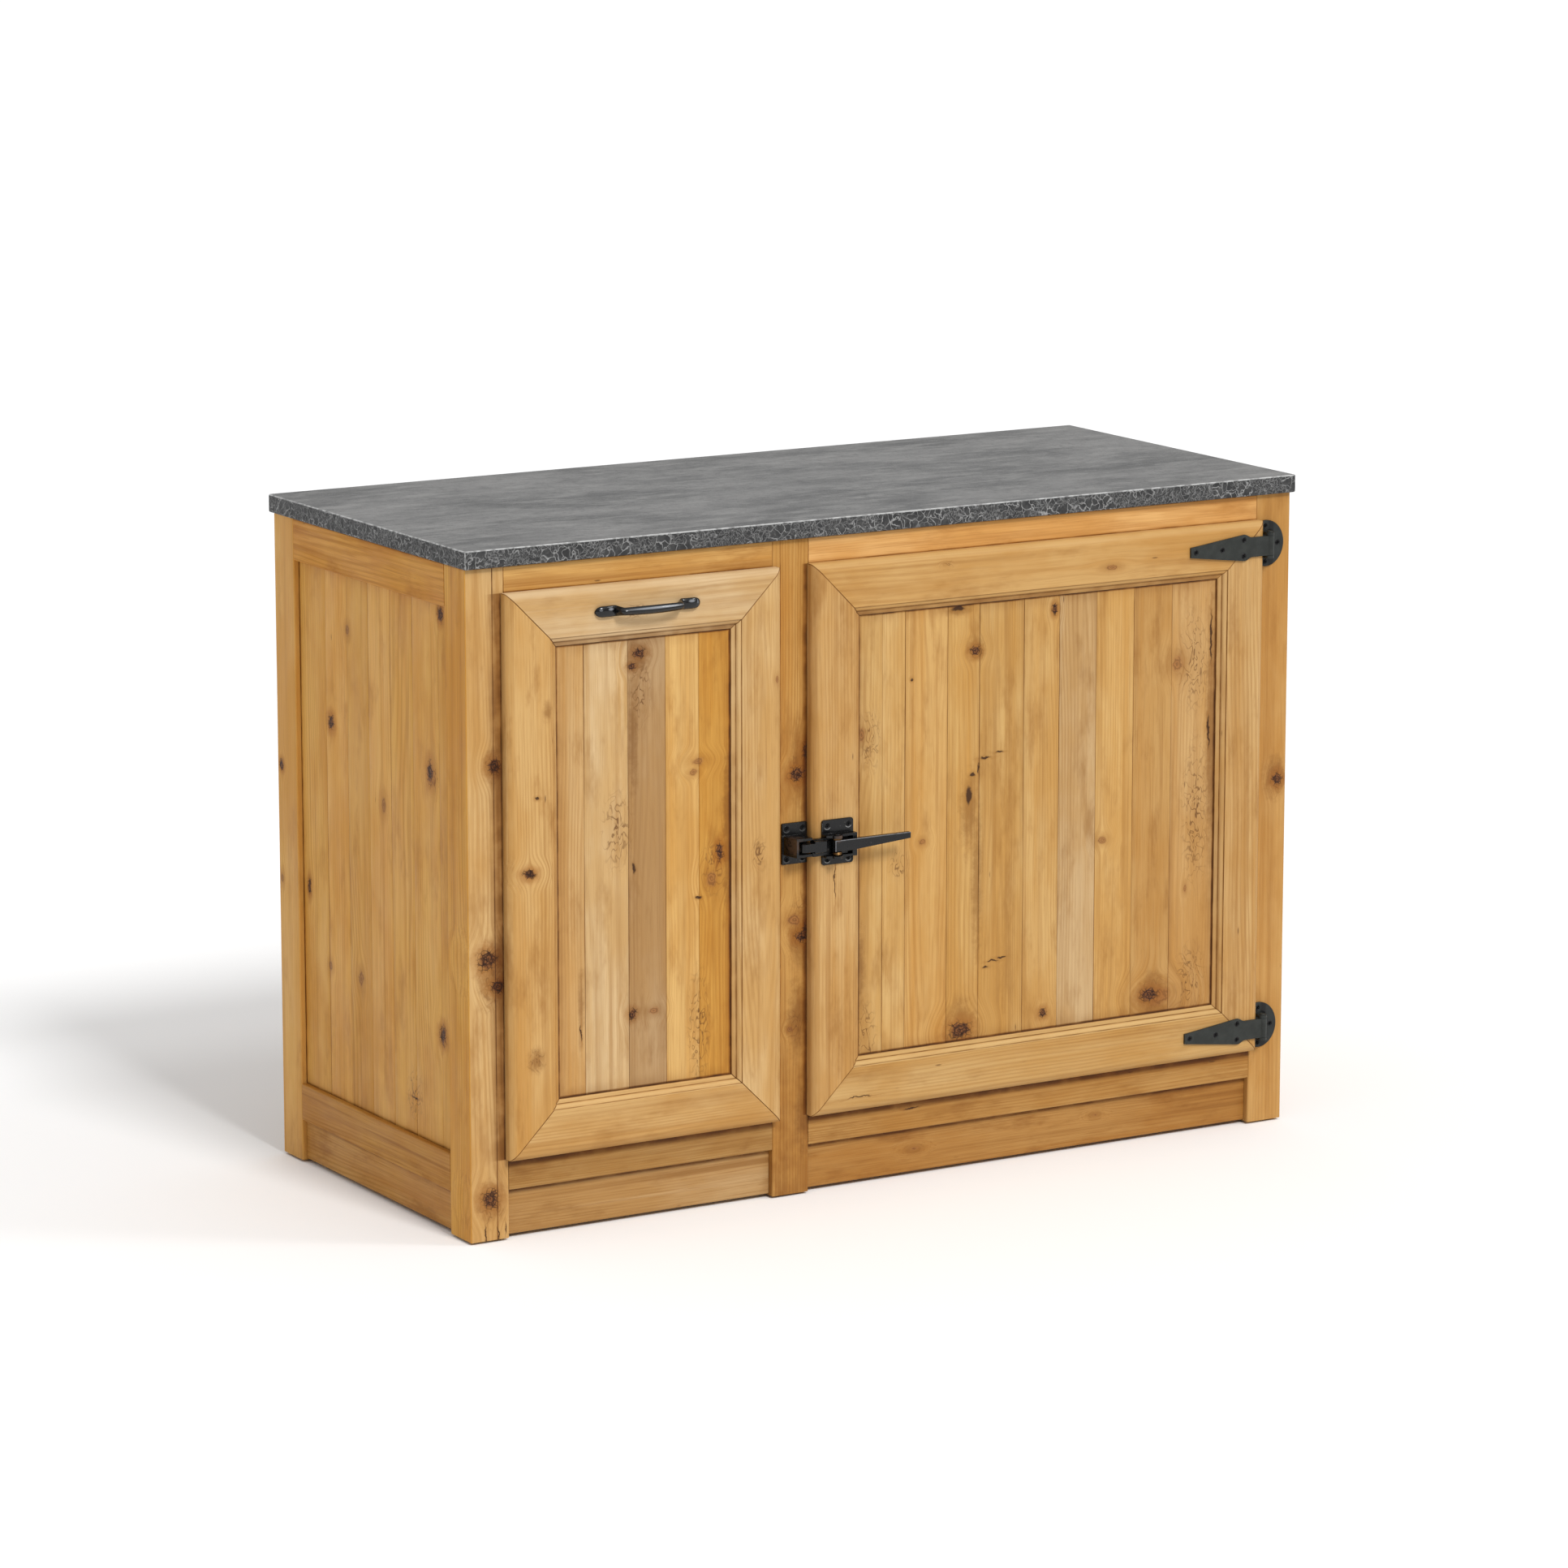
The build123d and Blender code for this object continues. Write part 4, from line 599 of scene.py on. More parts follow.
def board_set(node, plan, material, seed, shares, tints, arches=()):
    """Boards side by side, each a closed section carried up its length.

    A section runs round a board: a face with rounded arrises and a slight crown, two sides and
    a back. Along the board the two edges wander by a fraction of a millimetre, as planed by
    hand. The plan is (origin, across direction, inward direction, width, thickness), and the
    shares are the boards' parts of the width. An arched board, given as (number, sideways
    place, depth) of its pith, has it so near the face that the leaning rings cut the face in
    long arches.
    """
    origin, across, inward, width, thickness = plan
    origin, across, inward = (np.array(v, float) for v in (origin, across, inward))
    edges = np.concatenate(([0], np.cumsum(shares))) / sum(shares) * width
    chance = np.random.default_rng(seed)
    rings = 25
    low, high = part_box(node)
    levels = np.linspace(low.z, high.z, rings)
    ease = 0.0004
    turn = np.linspace(0, math.pi / 2, 4)
    points, faces, tint, shift, pith, edge = [], [], [], [], [], []
    total = 0
    for index in range(len(edges) - 1):
        gap = 0.00012
        left = edges[index] + gap + 0.00012 * chance.normal(size=rings).cumsum() / 5
        right = edges[index + 1] - gap + 0.00012 * chance.normal(size=rings).cumsum() / 5
        left = np.clip(left, edges[index] + 0.00002, edges[index] + 0.0003)[:, None]
        right = np.clip(right, edges[index + 1] - 0.0003, edges[index + 1] - 0.00002)[:, None]
        rise = 0.00018 * chance.random()
        middle = np.linspace(0, 1, 9)[1:-1]
        across_left = left + ease * (1 - np.cos(turn))[None, :]
        depth_left = (ease * (1 - np.sin(turn)))[None, :] + rise
        across_face = left + ease + (right - left - 2 * ease) * middle
        depth_face = rise * (1 - 4 * middle * (1 - middle))[None, :] * np.ones_like(left)
        across_right = right - ease * (1 - np.cos(turn[::-1]))[None, :]
        depth_right = (ease * (1 - np.sin(turn[::-1])))[None, :] + rise
        across_back = left + (right - left) * middle[::-1]
        u = np.hstack((across_left, across_face, across_right, right, across_back, left))
        d = np.hstack(
            (
                depth_left * np.ones_like(left),
                depth_face,
                depth_right * np.ones_like(left),
                np.full((rings, len(middle) + 2), float(thickness)),
            )
        )
        around = u.shape[1]
        place = origin + u[..., None] * across + d[..., None] * inward
        place[..., 2] = levels[:, None]
        points.append(place.reshape(-1, 3))
        flip = np.dot(np.cross(across, inward), (0, 0, 1)) < 0
        faces += skin_faces(rings, around, flip, total)
        total += rings * around
        count = rings * around
        light = LIT["x" if abs(inward[0]) > 0.5 else "y"]
        tint.append(np.tile(np.array(srgb(*tints[index])) / (light, light, light, 1), (count, 1)))
        shift.append(np.tile(chance.uniform(-3, 3, 3), (count, 1)))
        centre = origin + across * (edges[index] + edges[index + 1]) / 2
        offset = chance.choice((-1, 1)) * chance.uniform(0.03, 0.3) * across
        depth = chance.uniform(0.04, 0.2) * inward
        for number, sideways, deep in arches:
            if number == index:
                offset = sideways * across
                depth = (deep + BOARD_LEAN * ((low.z + high.z) / 2 + shift[-1][0][2])) * inward
        pith.append(np.tile(centre + offset + depth + shift[-1][0], (count, 1)))
        near = np.minimum(u - left, right - u)
        edge.append(near.reshape(-1))
    piece = new_piece(f"{node}_visual", np.vstack(points), faces, material, node)
    mesh = piece.data
    for label, kind, values in (
        ("tint", "FLOAT_COLOR", np.vstack(tint)),
        ("shift", "FLOAT_VECTOR", np.vstack(shift)),
        ("pith", "FLOAT_VECTOR", np.vstack(pith)),
        ("edge", "FLOAT", np.concatenate(edge)),
    ):
        made = mesh.attributes.new(label, kind, "POINT")
        field = {"FLOAT_COLOR": "color", "FLOAT_VECTOR": "vector", "FLOAT": "value"}[kind]
        made.data.foreach_set(field, values.astype(np.float32).ravel())
    return piece


def shells(mesh):
    """The separate shells of a mesh, each as its points.

    Every vertex keeps the lowest number among its neighbours' until no number changes.
    """
    places = np.empty(len(mesh.vertices) * 3)
    mesh.vertices.foreach_get("co", places)
    places, same = np.unique(places.reshape(-1, 3).round(6), axis=0, return_inverse=True)
    ends = np.empty(len(mesh.edges) * 2, int)
    mesh.edges.foreach_get("vertices", ends)
    ends = same.ravel()[ends].reshape(-1, 2)
    label = np.arange(len(places))
    while True:
        lowest = label[ends].min(axis=1)
        spread = label.copy()
        np.minimum.at(spread, ends[:, 0], lowest)
        np.minimum.at(spread, ends[:, 1], lowest)
        if (spread == label).all():
            break
        label = spread
    return [places[label == number] for number in np.unique(label)]


def cross_screws(name, material):
    """Countersunk screws with a dished head and a cross recess, one on each CAD screw.

    Each is a profile turned round its axis: a point, a shank, a cone, a rim and a dish. Where
    the dish is nearer its middle than the recess's reach and within half a slot's width of one
    of the two arms, it goes deeper.
    """
    radii = np.array((0.1, 0.9, 1.7, 1.7, 3.9, 3.9, 3.55, 3.2, 2.7, 2.3, 1.9, 1.4, 0.9, 0.5, 0.05))
    depths = np.array((1.0, 0.94, 0.8, 2.4, 0.5, 0.22, 0.0, 0.12, 0.4, 0.5, 0.55, 0.6, 0.6, 0.6, 0.6))
    relative = np.arange(len(radii)) < 3
    around = 48
    turn = np.linspace(0, math.tau, around, endpoint=False)
    arm = np.minimum(abs(np.sin(turn)), abs(np.cos(turn)))[None, :] * radii[:, None]
    recess = (arm < 0.62) & (radii[:, None] < 2.6) & (np.arange(len(radii)) > 7)[:, None]
    chance = np.random.default_rng(5)
    points, faces, total = [], [], 0
    for shell in shells(nodes[name].data):
        low, high = shell.min(axis=0), shell.max(axis=0)
        middle = (low + high) / 2
        length = (high[1] - low[1]) / MM
        depth = np.where(relative, depths * length, depths)[:, None] + 1.3 * recess
        twist = turn + chance.uniform(0, math.tau)
        x = middle[0] + radii[:, None] * np.cos(twist) * MM
        z = middle[2] + radii[:, None] * np.sin(twist) * MM
        y = low[1] + depth * MM + 0 * x
        points.append(np.stack((x, y, z), axis=-1).reshape(-1, 3))
        faces += skin_faces(len(radii), around, True, total)
        total += len(radii) * around
    new_piece(f"{name}_cross", np.vstack(points), faces, material, name, 25)


def paint(name, material):
    """Gives a frame node its material and leaves its shape alone."""
    node = nodes[name]
    node.data.materials.clear()
    node.data.materials.append(material)


def dress(name, material, ease=0.0008, shortest=None):
    """A finished copy of a frame node: welded, its flat faces made whole, its arrises eased.

    Where a shortest edge is given, only longer edges are eased, each to its full width.
    """
    mesh = nodes[name].data.copy()
    mesh.name = f"{name}_finished"
    for label in ("custom_normal", "sharp_edge", "sharp_face"):
        if label in mesh.attributes:
            mesh.attributes.remove(mesh.attributes[label])
    form = bmesh.new()
    form.from_mesh(mesh)
    bmesh.ops.remove_doubles(form, verts=form.verts, dist=0.000002)
    flat = math.radians(0.3)
    bmesh.ops.dissolve_limit(form, angle_limit=flat, verts=form.verts, edges=form.edges)
    form.to_mesh(mesh)
    form.free()
    piece = stand_in(f"{name}_finished", mesh, material, name, SHARP_ANGLE)
    if ease:
        bevel = piece.modifiers.new("arris", "BEVEL")
        bevel.width = ease
        bevel.segments = 2
        bevel.limit_method = "ANGLE"
        bevel.angle_limit = math.radians(SHARP_ANGLE)
        bevel.harden_normals = True
        if shortest:
            places = np.empty(len(mesh.vertices) * 3)
            mesh.vertices.foreach_get("co", places)
            ends = np.empty(len(mesh.edges) * 2, int)
            mesh.edges.foreach_get("vertices", ends)
            ends = places.reshape(-1, 3)[ends.reshape(-1, 2)]
            length = np.linalg.norm(ends[:, 0] - ends[:, 1], axis=1)
            sharp = np.zeros(len(mesh.edges), bool)
            mesh.attributes["sharp_edge"].data.foreach_get("value", sharp)
            weight = mesh.attributes.new("bevel_weight_edge", "FLOAT", "EDGE")
            weight.data.foreach_set("value", (sharp & (length > shortest)).astype(np.float32))
            bevel.limit_method = "WEIGHT"
            bevel.use_clamp_overlap = False
    return piece


# Stone


def stone(name):
    """Honed dark stone: a clouded top, and rough darker edges with a net of pale thin veins."""
    finish = Finish(name)
    point = finish.point
    top = finish.ease(finish.split(point)[2], 0.8986, 0.8994)
    cloud = finish.noise(finish.vector("MULTIPLY", point, (4, 9, 9)), detail=6, roughness=0.66)
    drift = finish.noise(finish.vector("MULTIPLY", point, (16, 55, 55)), detail=4, roughness=0.62)
    grit = finish.noise(point, scale=420, detail=3, roughness=0.7)
    mottle = finish.noise(point, scale=95, detail=4, roughness=0.66)
    pores = finish.cells(point, 240)
    pore = finish.times(
        finish.ease(pores["Distance"], 0.12, 0.3, 1.0, 0.0),
        finish.ease(finish.split(pores["Color"])[0], 0.72, 0.8),
    )
    wormy = finish.vector("ADD", point, finish.stray(point, 2, 0.022, scale=70))
    net = finish.cells(wormy, 88, "DISTANCE_TO_EDGE")["Distance"]
    fine_net = finish.cells(wormy, 190, "DISTANCE_TO_EDGE")["Distance"]
    patch = finish.noise(point, scale=48, detail=3, roughness=0.6)
    vein = finish.times(finish.ease(net, 0.0, 0.075, 1.0, 0.0), finish.ease(patch, 0.38, 0.58))
    thread = finish.times(finish.ease(fine_net, 0.0, 0.09, 0.6, 0.0), finish.ease(patch, 0.58, 0.42))
    vein = finish.most(vein, thread)
    scratch = finish.noise(finish.vector("MULTIPLY", point, (40, 240, 60)), detail=2)
    scratch = finish.size(finish.minus(scratch, 0.5))
    scratch = finish.ease(scratch, 0.0, 0.02, 1.0, 0.0)

    top_colour = finish.layered(
        srgb(86, 86, 86),
        (finish.ease(cloud, 0.34, 0.66), srgb(126, 125, 124)),
        (finish.ease(drift, 0.44, 0.7, 0.0, 0.6), srgb(143, 142, 140)),
        (finish.ease(mottle, 0.5, 0.75, 0.0, 0.5), srgb(89, 89, 90)),
        (finish.ease(grit, 0.45, 0.75, 0.0, 0.35), srgb(149, 148, 147)),
        (finish.times(pore, 0.4), srgb(74, 74, 75)),
        (finish.times(scratch, 0.12), srgb(166, 166, 166)),
    )
    edge_colour = finish.layered(
        srgb(36, 36, 37),
        (finish.ease(mottle, 0.38, 0.64), srgb(59, 59, 59)),
        (finish.ease(grit, 0.45, 0.72, 0.0, 0.5), srgb(34, 34, 35)),
        (finish.times(vein, 0.72), srgb(164, 164, 163)),
    )
    colour = finish.mix(top, edge_colour, top_colour)
    low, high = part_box("worktop")
    parts = finish.split(point)
    depths = [finish.minus(parts[axis], low[axis]) for axis in (0, 1)]
    depths += [finish.minus(high[axis], parts[axis]) for axis in (0, 1, 2)]
    across = finish.least(depths[0], depths[2])
    deep = finish.least(depths[1], depths[3])
    corner = finish.most(across, deep)
    rim = finish.most(finish.least(across, deep), depths[4])
    arris = finish.least(corner, rim)
    # Paler arrises: partly chipped wear and partly a painted highlight.
    chipped = finish.ease(finish.noise(point, scale=110, detail=3), 0.35, 0.6, 0.25, 0.95)
    arris = finish.times(finish.ease(arris, 0.0009, 0.0021, 1.0, 0.0), chipped)
    # Painted shade on the worktop's left edge, with its veins laid over it again.
    left_edge = finish.ease(depths[0], 0.0006, 0.0012, 1.0, 0.0)
    colour = finish.layered(
        colour,
        (finish.times(left_edge, 0.75), srgb(26, 26, 27)),
        (finish.times(finish.times(left_edge, vein), 0.60), srgb(172, 172, 171)),
        (arris, srgb(192, 192, 191)),
    )
    relief = finish.raised(mottle, 0.7, finish.times(grit, 0.3))
    relief = finish.times(relief, finish.raised(top, -0.88, 1.0))
    finish.bump(finish.raised(vein, 0.25, relief), 0.0014, 0.7)
    rough = finish.ease(mottle, 0.3, 0.7, 0.42, 0.6)
    rough = finish.raised(top, -0.04, rough)
    finish.set(Base_Color=colour, Roughness=rough, IOR=1.5, Specular_IOR_Level=0.4)
    return finish.material


# Metals and plastic


def black_iron(
    name,
    colour,
    roughness,
    speckle,
    cast_depth,
    gloss,
    patina=(),
    bright=0.0,
    rim_shade_and_highlight=(),
    wear_and_highlight=(),
    highlight_spots=(),
    shade=None,
):
    """Blackened cast iron: fine pits and clouds, with brown patina and worn bright patches.

    The patina is a list of places, each a middle and a radius in millimetres. The screws, each
    as (x, z, strength) in millimetres, get painted shade in their holes and a painted highlight
    on the lower side of their countersinks. The worn nodes, each as (node, reach, strength),
    get bright arrises along the top and the left of their front, partly wear and partly a
    painted highlight. The highlight spots are soft painted highlights on the front, each as
    (x, z, half width, half height, strength). The shade is a painted shadow that darkens the iron.
    """
    finish = Finish(name)
    point = finish.point
    cast = finish.noise(point, scale=900, detail=3, roughness=0.6)
    cloud = finish.noise(point, scale=70, detail=3, roughness=0.6)
    rub = finish.noise(point, scale=170, detail=4, roughness=0.65)
    base = srgb(*colour)
    lighter = srgb(*(min(255, c + 26) for c in colour))
    skin = finish.mix(finish.ease(cloud, 0.35, 0.7, 0.0, speckle), base, lighter)
    for middle, radius in patina:
        offset = finish.vector("SUBTRACT", point, [v * MM for v in middle])
        near = finish.math("DIVIDE", finish.vector("LENGTH", offset), radius * MM)
        near = finish.raised(finish.minus(rub, 0.5), 1.6, near)
        rust = finish.mix(finish.ease(cloud, 0.35, 0.7), srgb(42, 33, 28), srgb(76, 56, 43))
        skin = finish.mix(finish.ease(near, 0.55, 1.15, 0.8, 0.0), skin, rust)
    if bright:
        worn = finish.ease(rub, 0.64, 0.70, 0.0, bright)
        skin = finish.mix(worn, skin, srgb(150, 148, 144))
    # Painted shade in each screw hole, and a painted highlight on the lower side of its countersink.
    for across, height, strength in rim_shade_and_highlight:
        offset = finish.vector("SUBTRACT", point, (across * MM, 0, height * MM))
        offset = finish.vector("MULTIPLY", offset, (1, 0, 1))
        away = finish.vector("LENGTH", offset)
        hollow = finish.ease(away, 0.0042, 0.0050, 0.9, 0.0)
        skin = finish.mix(hollow, skin, srgb(9, 9, 10))
        ring = finish.size(finish.minus(away, 0.0047))
        ring = finish.ease(ring, 0.0002, 0.0009, 1.0, 0.0)
        lower = finish.ease(finish.split(offset)[2], -0.0012, -0.0038, 0.0, strength)
        skin = finish.mix(finish.times(ring, lower), skin, srgb(150, 150, 148))
    # Bright arrises along the top and left of a part's front: partly wear, partly a painted highlight.
    for node, reach, amount in wear_and_highlight:
        low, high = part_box(node)
        x, y, z = finish.split(point)
        forward = finish.minus(y, low.y)
        top = finish.size(finish.minus(z, high.z))
        left = finish.size(finish.minus(x, low.x))
        away = finish.most(finish.least(top, left), forward)
        worn = finish.ease(away, reach * 0.55, reach, amount, 0.0)
        for value, first, last in ((x, low.x, high.x), (z, low.z, high.z)):
            worn = finish.times(worn, finish.ease(value, first - 0.0006, first - 0.0001))
            worn = finish.times(worn, finish.ease(value, last + 0.0006, last + 0.0001))
        worn = finish.times(worn, finish.ease(rub, 0.3, 0.6, 0.5, 1.0))
        skin = finish.mix(worn, skin, srgb(112, 113, 116))
    # Soft painted highlights on the front.
    for across, height, half_width, half_height, amount in highlight_spots:
        offset = finish.vector("SUBTRACT", point, (across, 0, height))
        offset = finish.vector("MULTIPLY", offset, (1 / half_width, 0, 1 / half_height))
        spot = finish.ease(finish.vector("LENGTH", offset), 0.45, 1.25, amount, 0.0)
        skin = finish.mix(spot, skin, srgb(132, 135, 140))
    if shade is not None:
        skin = finish.mix(shade(finish, point), skin, srgb(10, 11, 11))
    finish.bump(finish.raised(cloud, 0.6, cast), cast_depth, 0.5)
    rough = finish.ease(cloud, 0.3, 0.7, roughness - 0.04, roughness + 0.06)
    finish.set(Base_Color=skin, Roughness=rough, Specular_IOR_Level=gloss)
    return finish.material


def plain_metal(name, colour, roughness, brushed, tarnish=None):
    """Drawn or plated metal: fine brushing along the work, and a cloudy tarnish."""
    finish = Finish(name)
    point = finish.point
    line = finish.noise(finish.vector("MULTIPLY", point, [700 * b for b in brushed]), detail=2)
    cloud = finish.noise(point, scale=55, detail=3)
    darker = tarnish or tuple(int(c * 0.72) for c in colour)
    skin = finish.mix(finish.ease(cloud, 0.38, 0.62, 0.0, 0.75), srgb(*colour), srgb(*darker))
    finish.bump(line, 0.00005, 0.4)
    rough = finish.ease(line, 0.3, 0.7, roughness - 0.05, roughness + 0.08)
    finish.set(Base_Color=skin, Roughness=rough, Metallic=1.0)
    return finish.material


def moulded_plastic(name, colour):
    """Dull moulded plastic with a fine grain and scuffs."""
    finish = Finish(name)
    grain = finish.noise(finish.point, scale=1500, detail=2)
    scuff = finish.noise(finish.point, scale=180, detail=3)
    lighter = srgb(*(c + 22 for c in colour))
    skin = finish.mix(finish.ease(scuff, 0.55, 0.7, 0.0, 0.5), srgb(*colour), lighter)
    finish.bump(grain, 0.00005, 0.4)
    finish.set(Base_Color=skin, Roughness=finish.ease(scuff, 0.3, 0.7, 0.5, 0.7))
    return finish.material


# Timber of the carcass

worktop_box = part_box("worktop")
pull_box = (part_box("pullout_stile_left")[0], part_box("pullout_stile_right")[1])
door_box = (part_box("door_stile_left")[0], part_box("door_stile_right")[1])
plinth_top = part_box("plinth_front_left")[1].z
post_left_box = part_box("post_front_left")
post_centre_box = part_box("post_front_centre")
dress(
    "post_front_left",
    pine(
        "pine_post_front_left",
        (204, 164, 106),
        pith=(-0.4, 0.05),
        lean=0.02,
        shift=(0.31, 0.11, 0.7),
        contrast=1.3,
        knots=((-592, 622, 9, 10), (-604, 372, 13, 13), (-589, 336, 11, 9), (-603, 58, 12, 12)),
        stains=((-598, 350, 24, 46), (-602, 54, 22, 30), (-596, 622, 14, 26)),
        swirls=((-600, 352, 22, 52), (-602, 50, 24, 34)),
        cracks=((-610, 12, 1.0, 14), (-592, 10, 0.8, 12), (-582, 16, 0.7, 10)),
        # A glue line, a painted shadow left of the pull-out front, and painted shade under the worktop.
        dirt_and_shade=joined(
            stripe("x", post_left_box[1].x - 0.0168, 0.0011, 0.8),
            shade_line("x", pull_box[0].x, -0.006, 0.8, pull_box[0].z, pull_box[1].z),
            shade_line("x", pull_box[0].x, -0.028, 0.6, pull_box[0].z, pull_box[1].z),
            shade_line("z", worktop_box[0].z, -0.004, 0.4),
        ),
        # Painted shade: a deeper tone on the post's left face.
        turned=(1.16, 0.95, 0.43),
    ),
)
dress(
    "post_front_centre",
    pine(
        "pine_post_front_centre",
        (194, 145, 76),
        pith=(-0.35, -0.1),
        lean=0.03,
        shift=(0.5, 0.2, 1.4),
        contrast=1.7,
        knots=((-146, 566, 12, 9), (-131, 594, 7, 13), (-140, 349, 10, 7), (-134, 352, 6, 12)),
        pale_knots=((-157, 226, 5, 4), (-150, 372, 12, 9)),
        stains=(
            (-138, 575, 22, 60), (-140, 345, 22, 50), (-132, 470, 12, 150), (-146, 240, 18, 60),
            (-136, 110, 14, 60),
        ),
        swirls=((-142, 362, 22, 44), (-144, 572, 20, 30), (-150, 230, 18, 26)),
        # A glue line, painted shadow beside the door and the pull-out front, darker towards the floor, and
        # painted shade under the worktop.
        dirt_and_shade=joined(
            stripe("x", post_centre_box[0].x + 0.0125, 0.0009, 0.5),
            shade_line("x", door_box[0].x, -0.010, 0.75, door_box[0].z, door_box[1].z),
            shade_line("x", pull_box[1].x, 0.004, 0.6, door_box[0].z, door_box[1].z),
            shade_line("z", 0.0, 0.46, 0.36),
            shade_line("z", worktop_box[0].z, -0.004, 0.4),
        ),
    ),
)
dress(
    "post_front_right",
    pine(
        "pine_post_front_right",
        (193, 146, 82),
        pith=(0.9, -0.02),
        lean=0.012,
        shift=(0.9, 0.4, 0.2),
        knots=((617, 481, 8, 9),),
        stains=((612, 485, 20, 34),),
        swirls=((616, 481, 20, 30),),
    ),
)
dress(
    "post_back_left",
    pine(
        "pine_post_back_left",
        (180, 137, 72),
        face="x",
        plane=SIDE_X,
        pith=(0.5, -0.7),
        shift=(0.15, 0.6, 0.9),
        knots=((275, 537, 6, 7),),
        pale_knots=((279, 383, 5, 9),),
    ),
)
dress("post_back_right", pine("pine_post_back_right", (196, 148, 88), shift=(1.9, 0.6, 0.3)))

side_knots = (
    (142, 616, 8, 10), (-137, 597, 8, 15), (-170, 806, 8, 10), (213, 382, 5, 12), (-165, 257, 9, 12)
)
side_pale = ((92, 746, 7, 9), (-6, 531, 7, 13), (154, 285, 6, 8), (65, 286, 8, 12))
rails = {
    "top_rail_front_left": ((205, 156, 86), (0.1, 0.5)),
    "top_rail_front_right": ((222, 170, 102), (0.1, 0.9)),
    "bottom_rail_front_left": ((168, 127, 71), (0.4, 0.3)),
    "bottom_rail_front_right": ((178, 132, 70), (0.45, 0.7)),
    "top_rail_side_left": ((173, 122, 46), (0.6, 0.2)),
    "top_rail_side_right": ((176, 128, 57), (0.2, 0.8)),
    "bottom_rail_side_left": ((155, 110, 46), (0.33, 0.1)),
    "bottom_rail_side_right": ((166, 122, 54), (0.7, 0.5)),
    "back_rails": ((200, 152, 92), (0.9, 0.4)),
    "plinth_front_left": ((183, 145, 94), (0.15, 0.25)),
    "plinth_front_right": ((174, 126, 65), (0.65, 0.35)),
    "plinths_side": ((161, 117, 56), (0.8, 0.6)),
}
# Painted shade under the worktop, above and below the fronts, and on the plinths under the rails.
rail_painted_shade = {
    "top_rail_front": joined(
        shade_line("z", worktop_box[0].z, -0.004, 0.4), shade_line("z", pull_box[1].z, 0.003, 0.6)
    ),
    "bottom_rail_front": shade_line("z", pull_box[0].z, -0.016, 0.85),
    "plinth_front": shade_line("z", plinth_top, -0.009, 0.8),
    "top_rail_side": shade_line("z", worktop_box[0].z, -0.004, 0.4),
    "plinths_side": shade_line("z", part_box("plinths_side")[1].z, -0.008, 0.5),
}
rail_marks = {
    "plinth_front_right": {"pale_knots": ((40, 36, 9, 4), (330, 44, 7, 3))},
    "bottom_rail_front_right": {"cracks": ((30, 96, 14, 1.2),)},
}
for label, (tone, (first, second)) in rails.items():
    grain, face = ("y", "x") if "side" in label else ("x", "y")
    dress(
        label,
        pine(
            f"pine_{label}",
            tone,
            grain=grain,
            face=face,
            plane=FRONT_Y if face == "y" else SIDE_X,
            pith=(0.9 + first, 0.35 * second),
            lean=0.03,
            shift=(first * 3, second * 2, first + second),
            contrast=2.0,
            dirt_and_shade=rail_painted_shade.get(label.replace("_left", "").replace("_right", "")),
            **rail_marks.get(label, {}),
        ),
    )

# Hidden boards: floor, back, partition, shelf and box
inside = {
    "back_panel": ((216, 176, 124), "z", "y"),
    "floor_panel": ((214, 174, 122), "y", "z"),
    "partition": ((212, 172, 120), "y", "x"),
    "shelf": ((214, 172, 118), "x", "z"),
    "floor_bearers": ((206, 164, 110), "x", "y"),
    "box_sides": ((216, 178, 128), "y", "x"),
    "box_ends": ((214, 176, 126), "x", "y"),
    "box_bottom": ((214, 176, 128), "y", "z"),
    "runner_batten": ((204, 164, 112), "y", "x"),
}
for order, (label, (tone, grain, face)) in enumerate(inside.items()):
    paint(
        label,
        pine(
            f"pine_{label}",
            tone,
            grain=grain,
            face=face,
            pith=(1.2 + 0.2 * order, 0.3),
            lean=0.02,
            shift=(order * 0.7, order * 0.3, order * 1.1),
            contrast=0.8,
        ),
    )

# Mitred members of the two fronts
fronts = {
    "pullout": {
        "box": pull_box,
        "left": (202, 159, 97),
        "right": (206, 168, 112),
        "top": (204, 171, 124),
        "bottom": (198, 156, 96),
    },
    "door": {
        "box": door_box,
        "left": (199, 157, 98),
        "right": (197, 156, 98),
        "top": (196, 152, 90),
        "bottom": (196, 156, 96),
    },
}
member_marks = {
    "pullout_stile_left": {
        "knots": ((-553, 481, 9, 6.5),),
        "cracks": ((-541, 578, 4, 2.2),),
        "stains": ((-524, 687, 8, 15), (-545, 237, 13, 17)),
        "swirls": ((-545, 237, 16, 20),),
    },
    "pullout_stile_right": {"pale_knots": ((-187, 697, 3, 6),), "swirls": ((-215, 470, 14, 26),)},
    "pullout_rail_top": {"swirls": ((-400, 806, 30, 12),)},
    "door_stile_left": {"cracks": ((-100, 420, 0.8, 26),)},
    "door_rail_top": {"swirls": ((70, 826, 14, 8),), "pale_knots": ((330, 800, 12, 4),)},
    "door_rail_bottom": {"cracks": ((-62, 126, 20, 0.8),)},
}
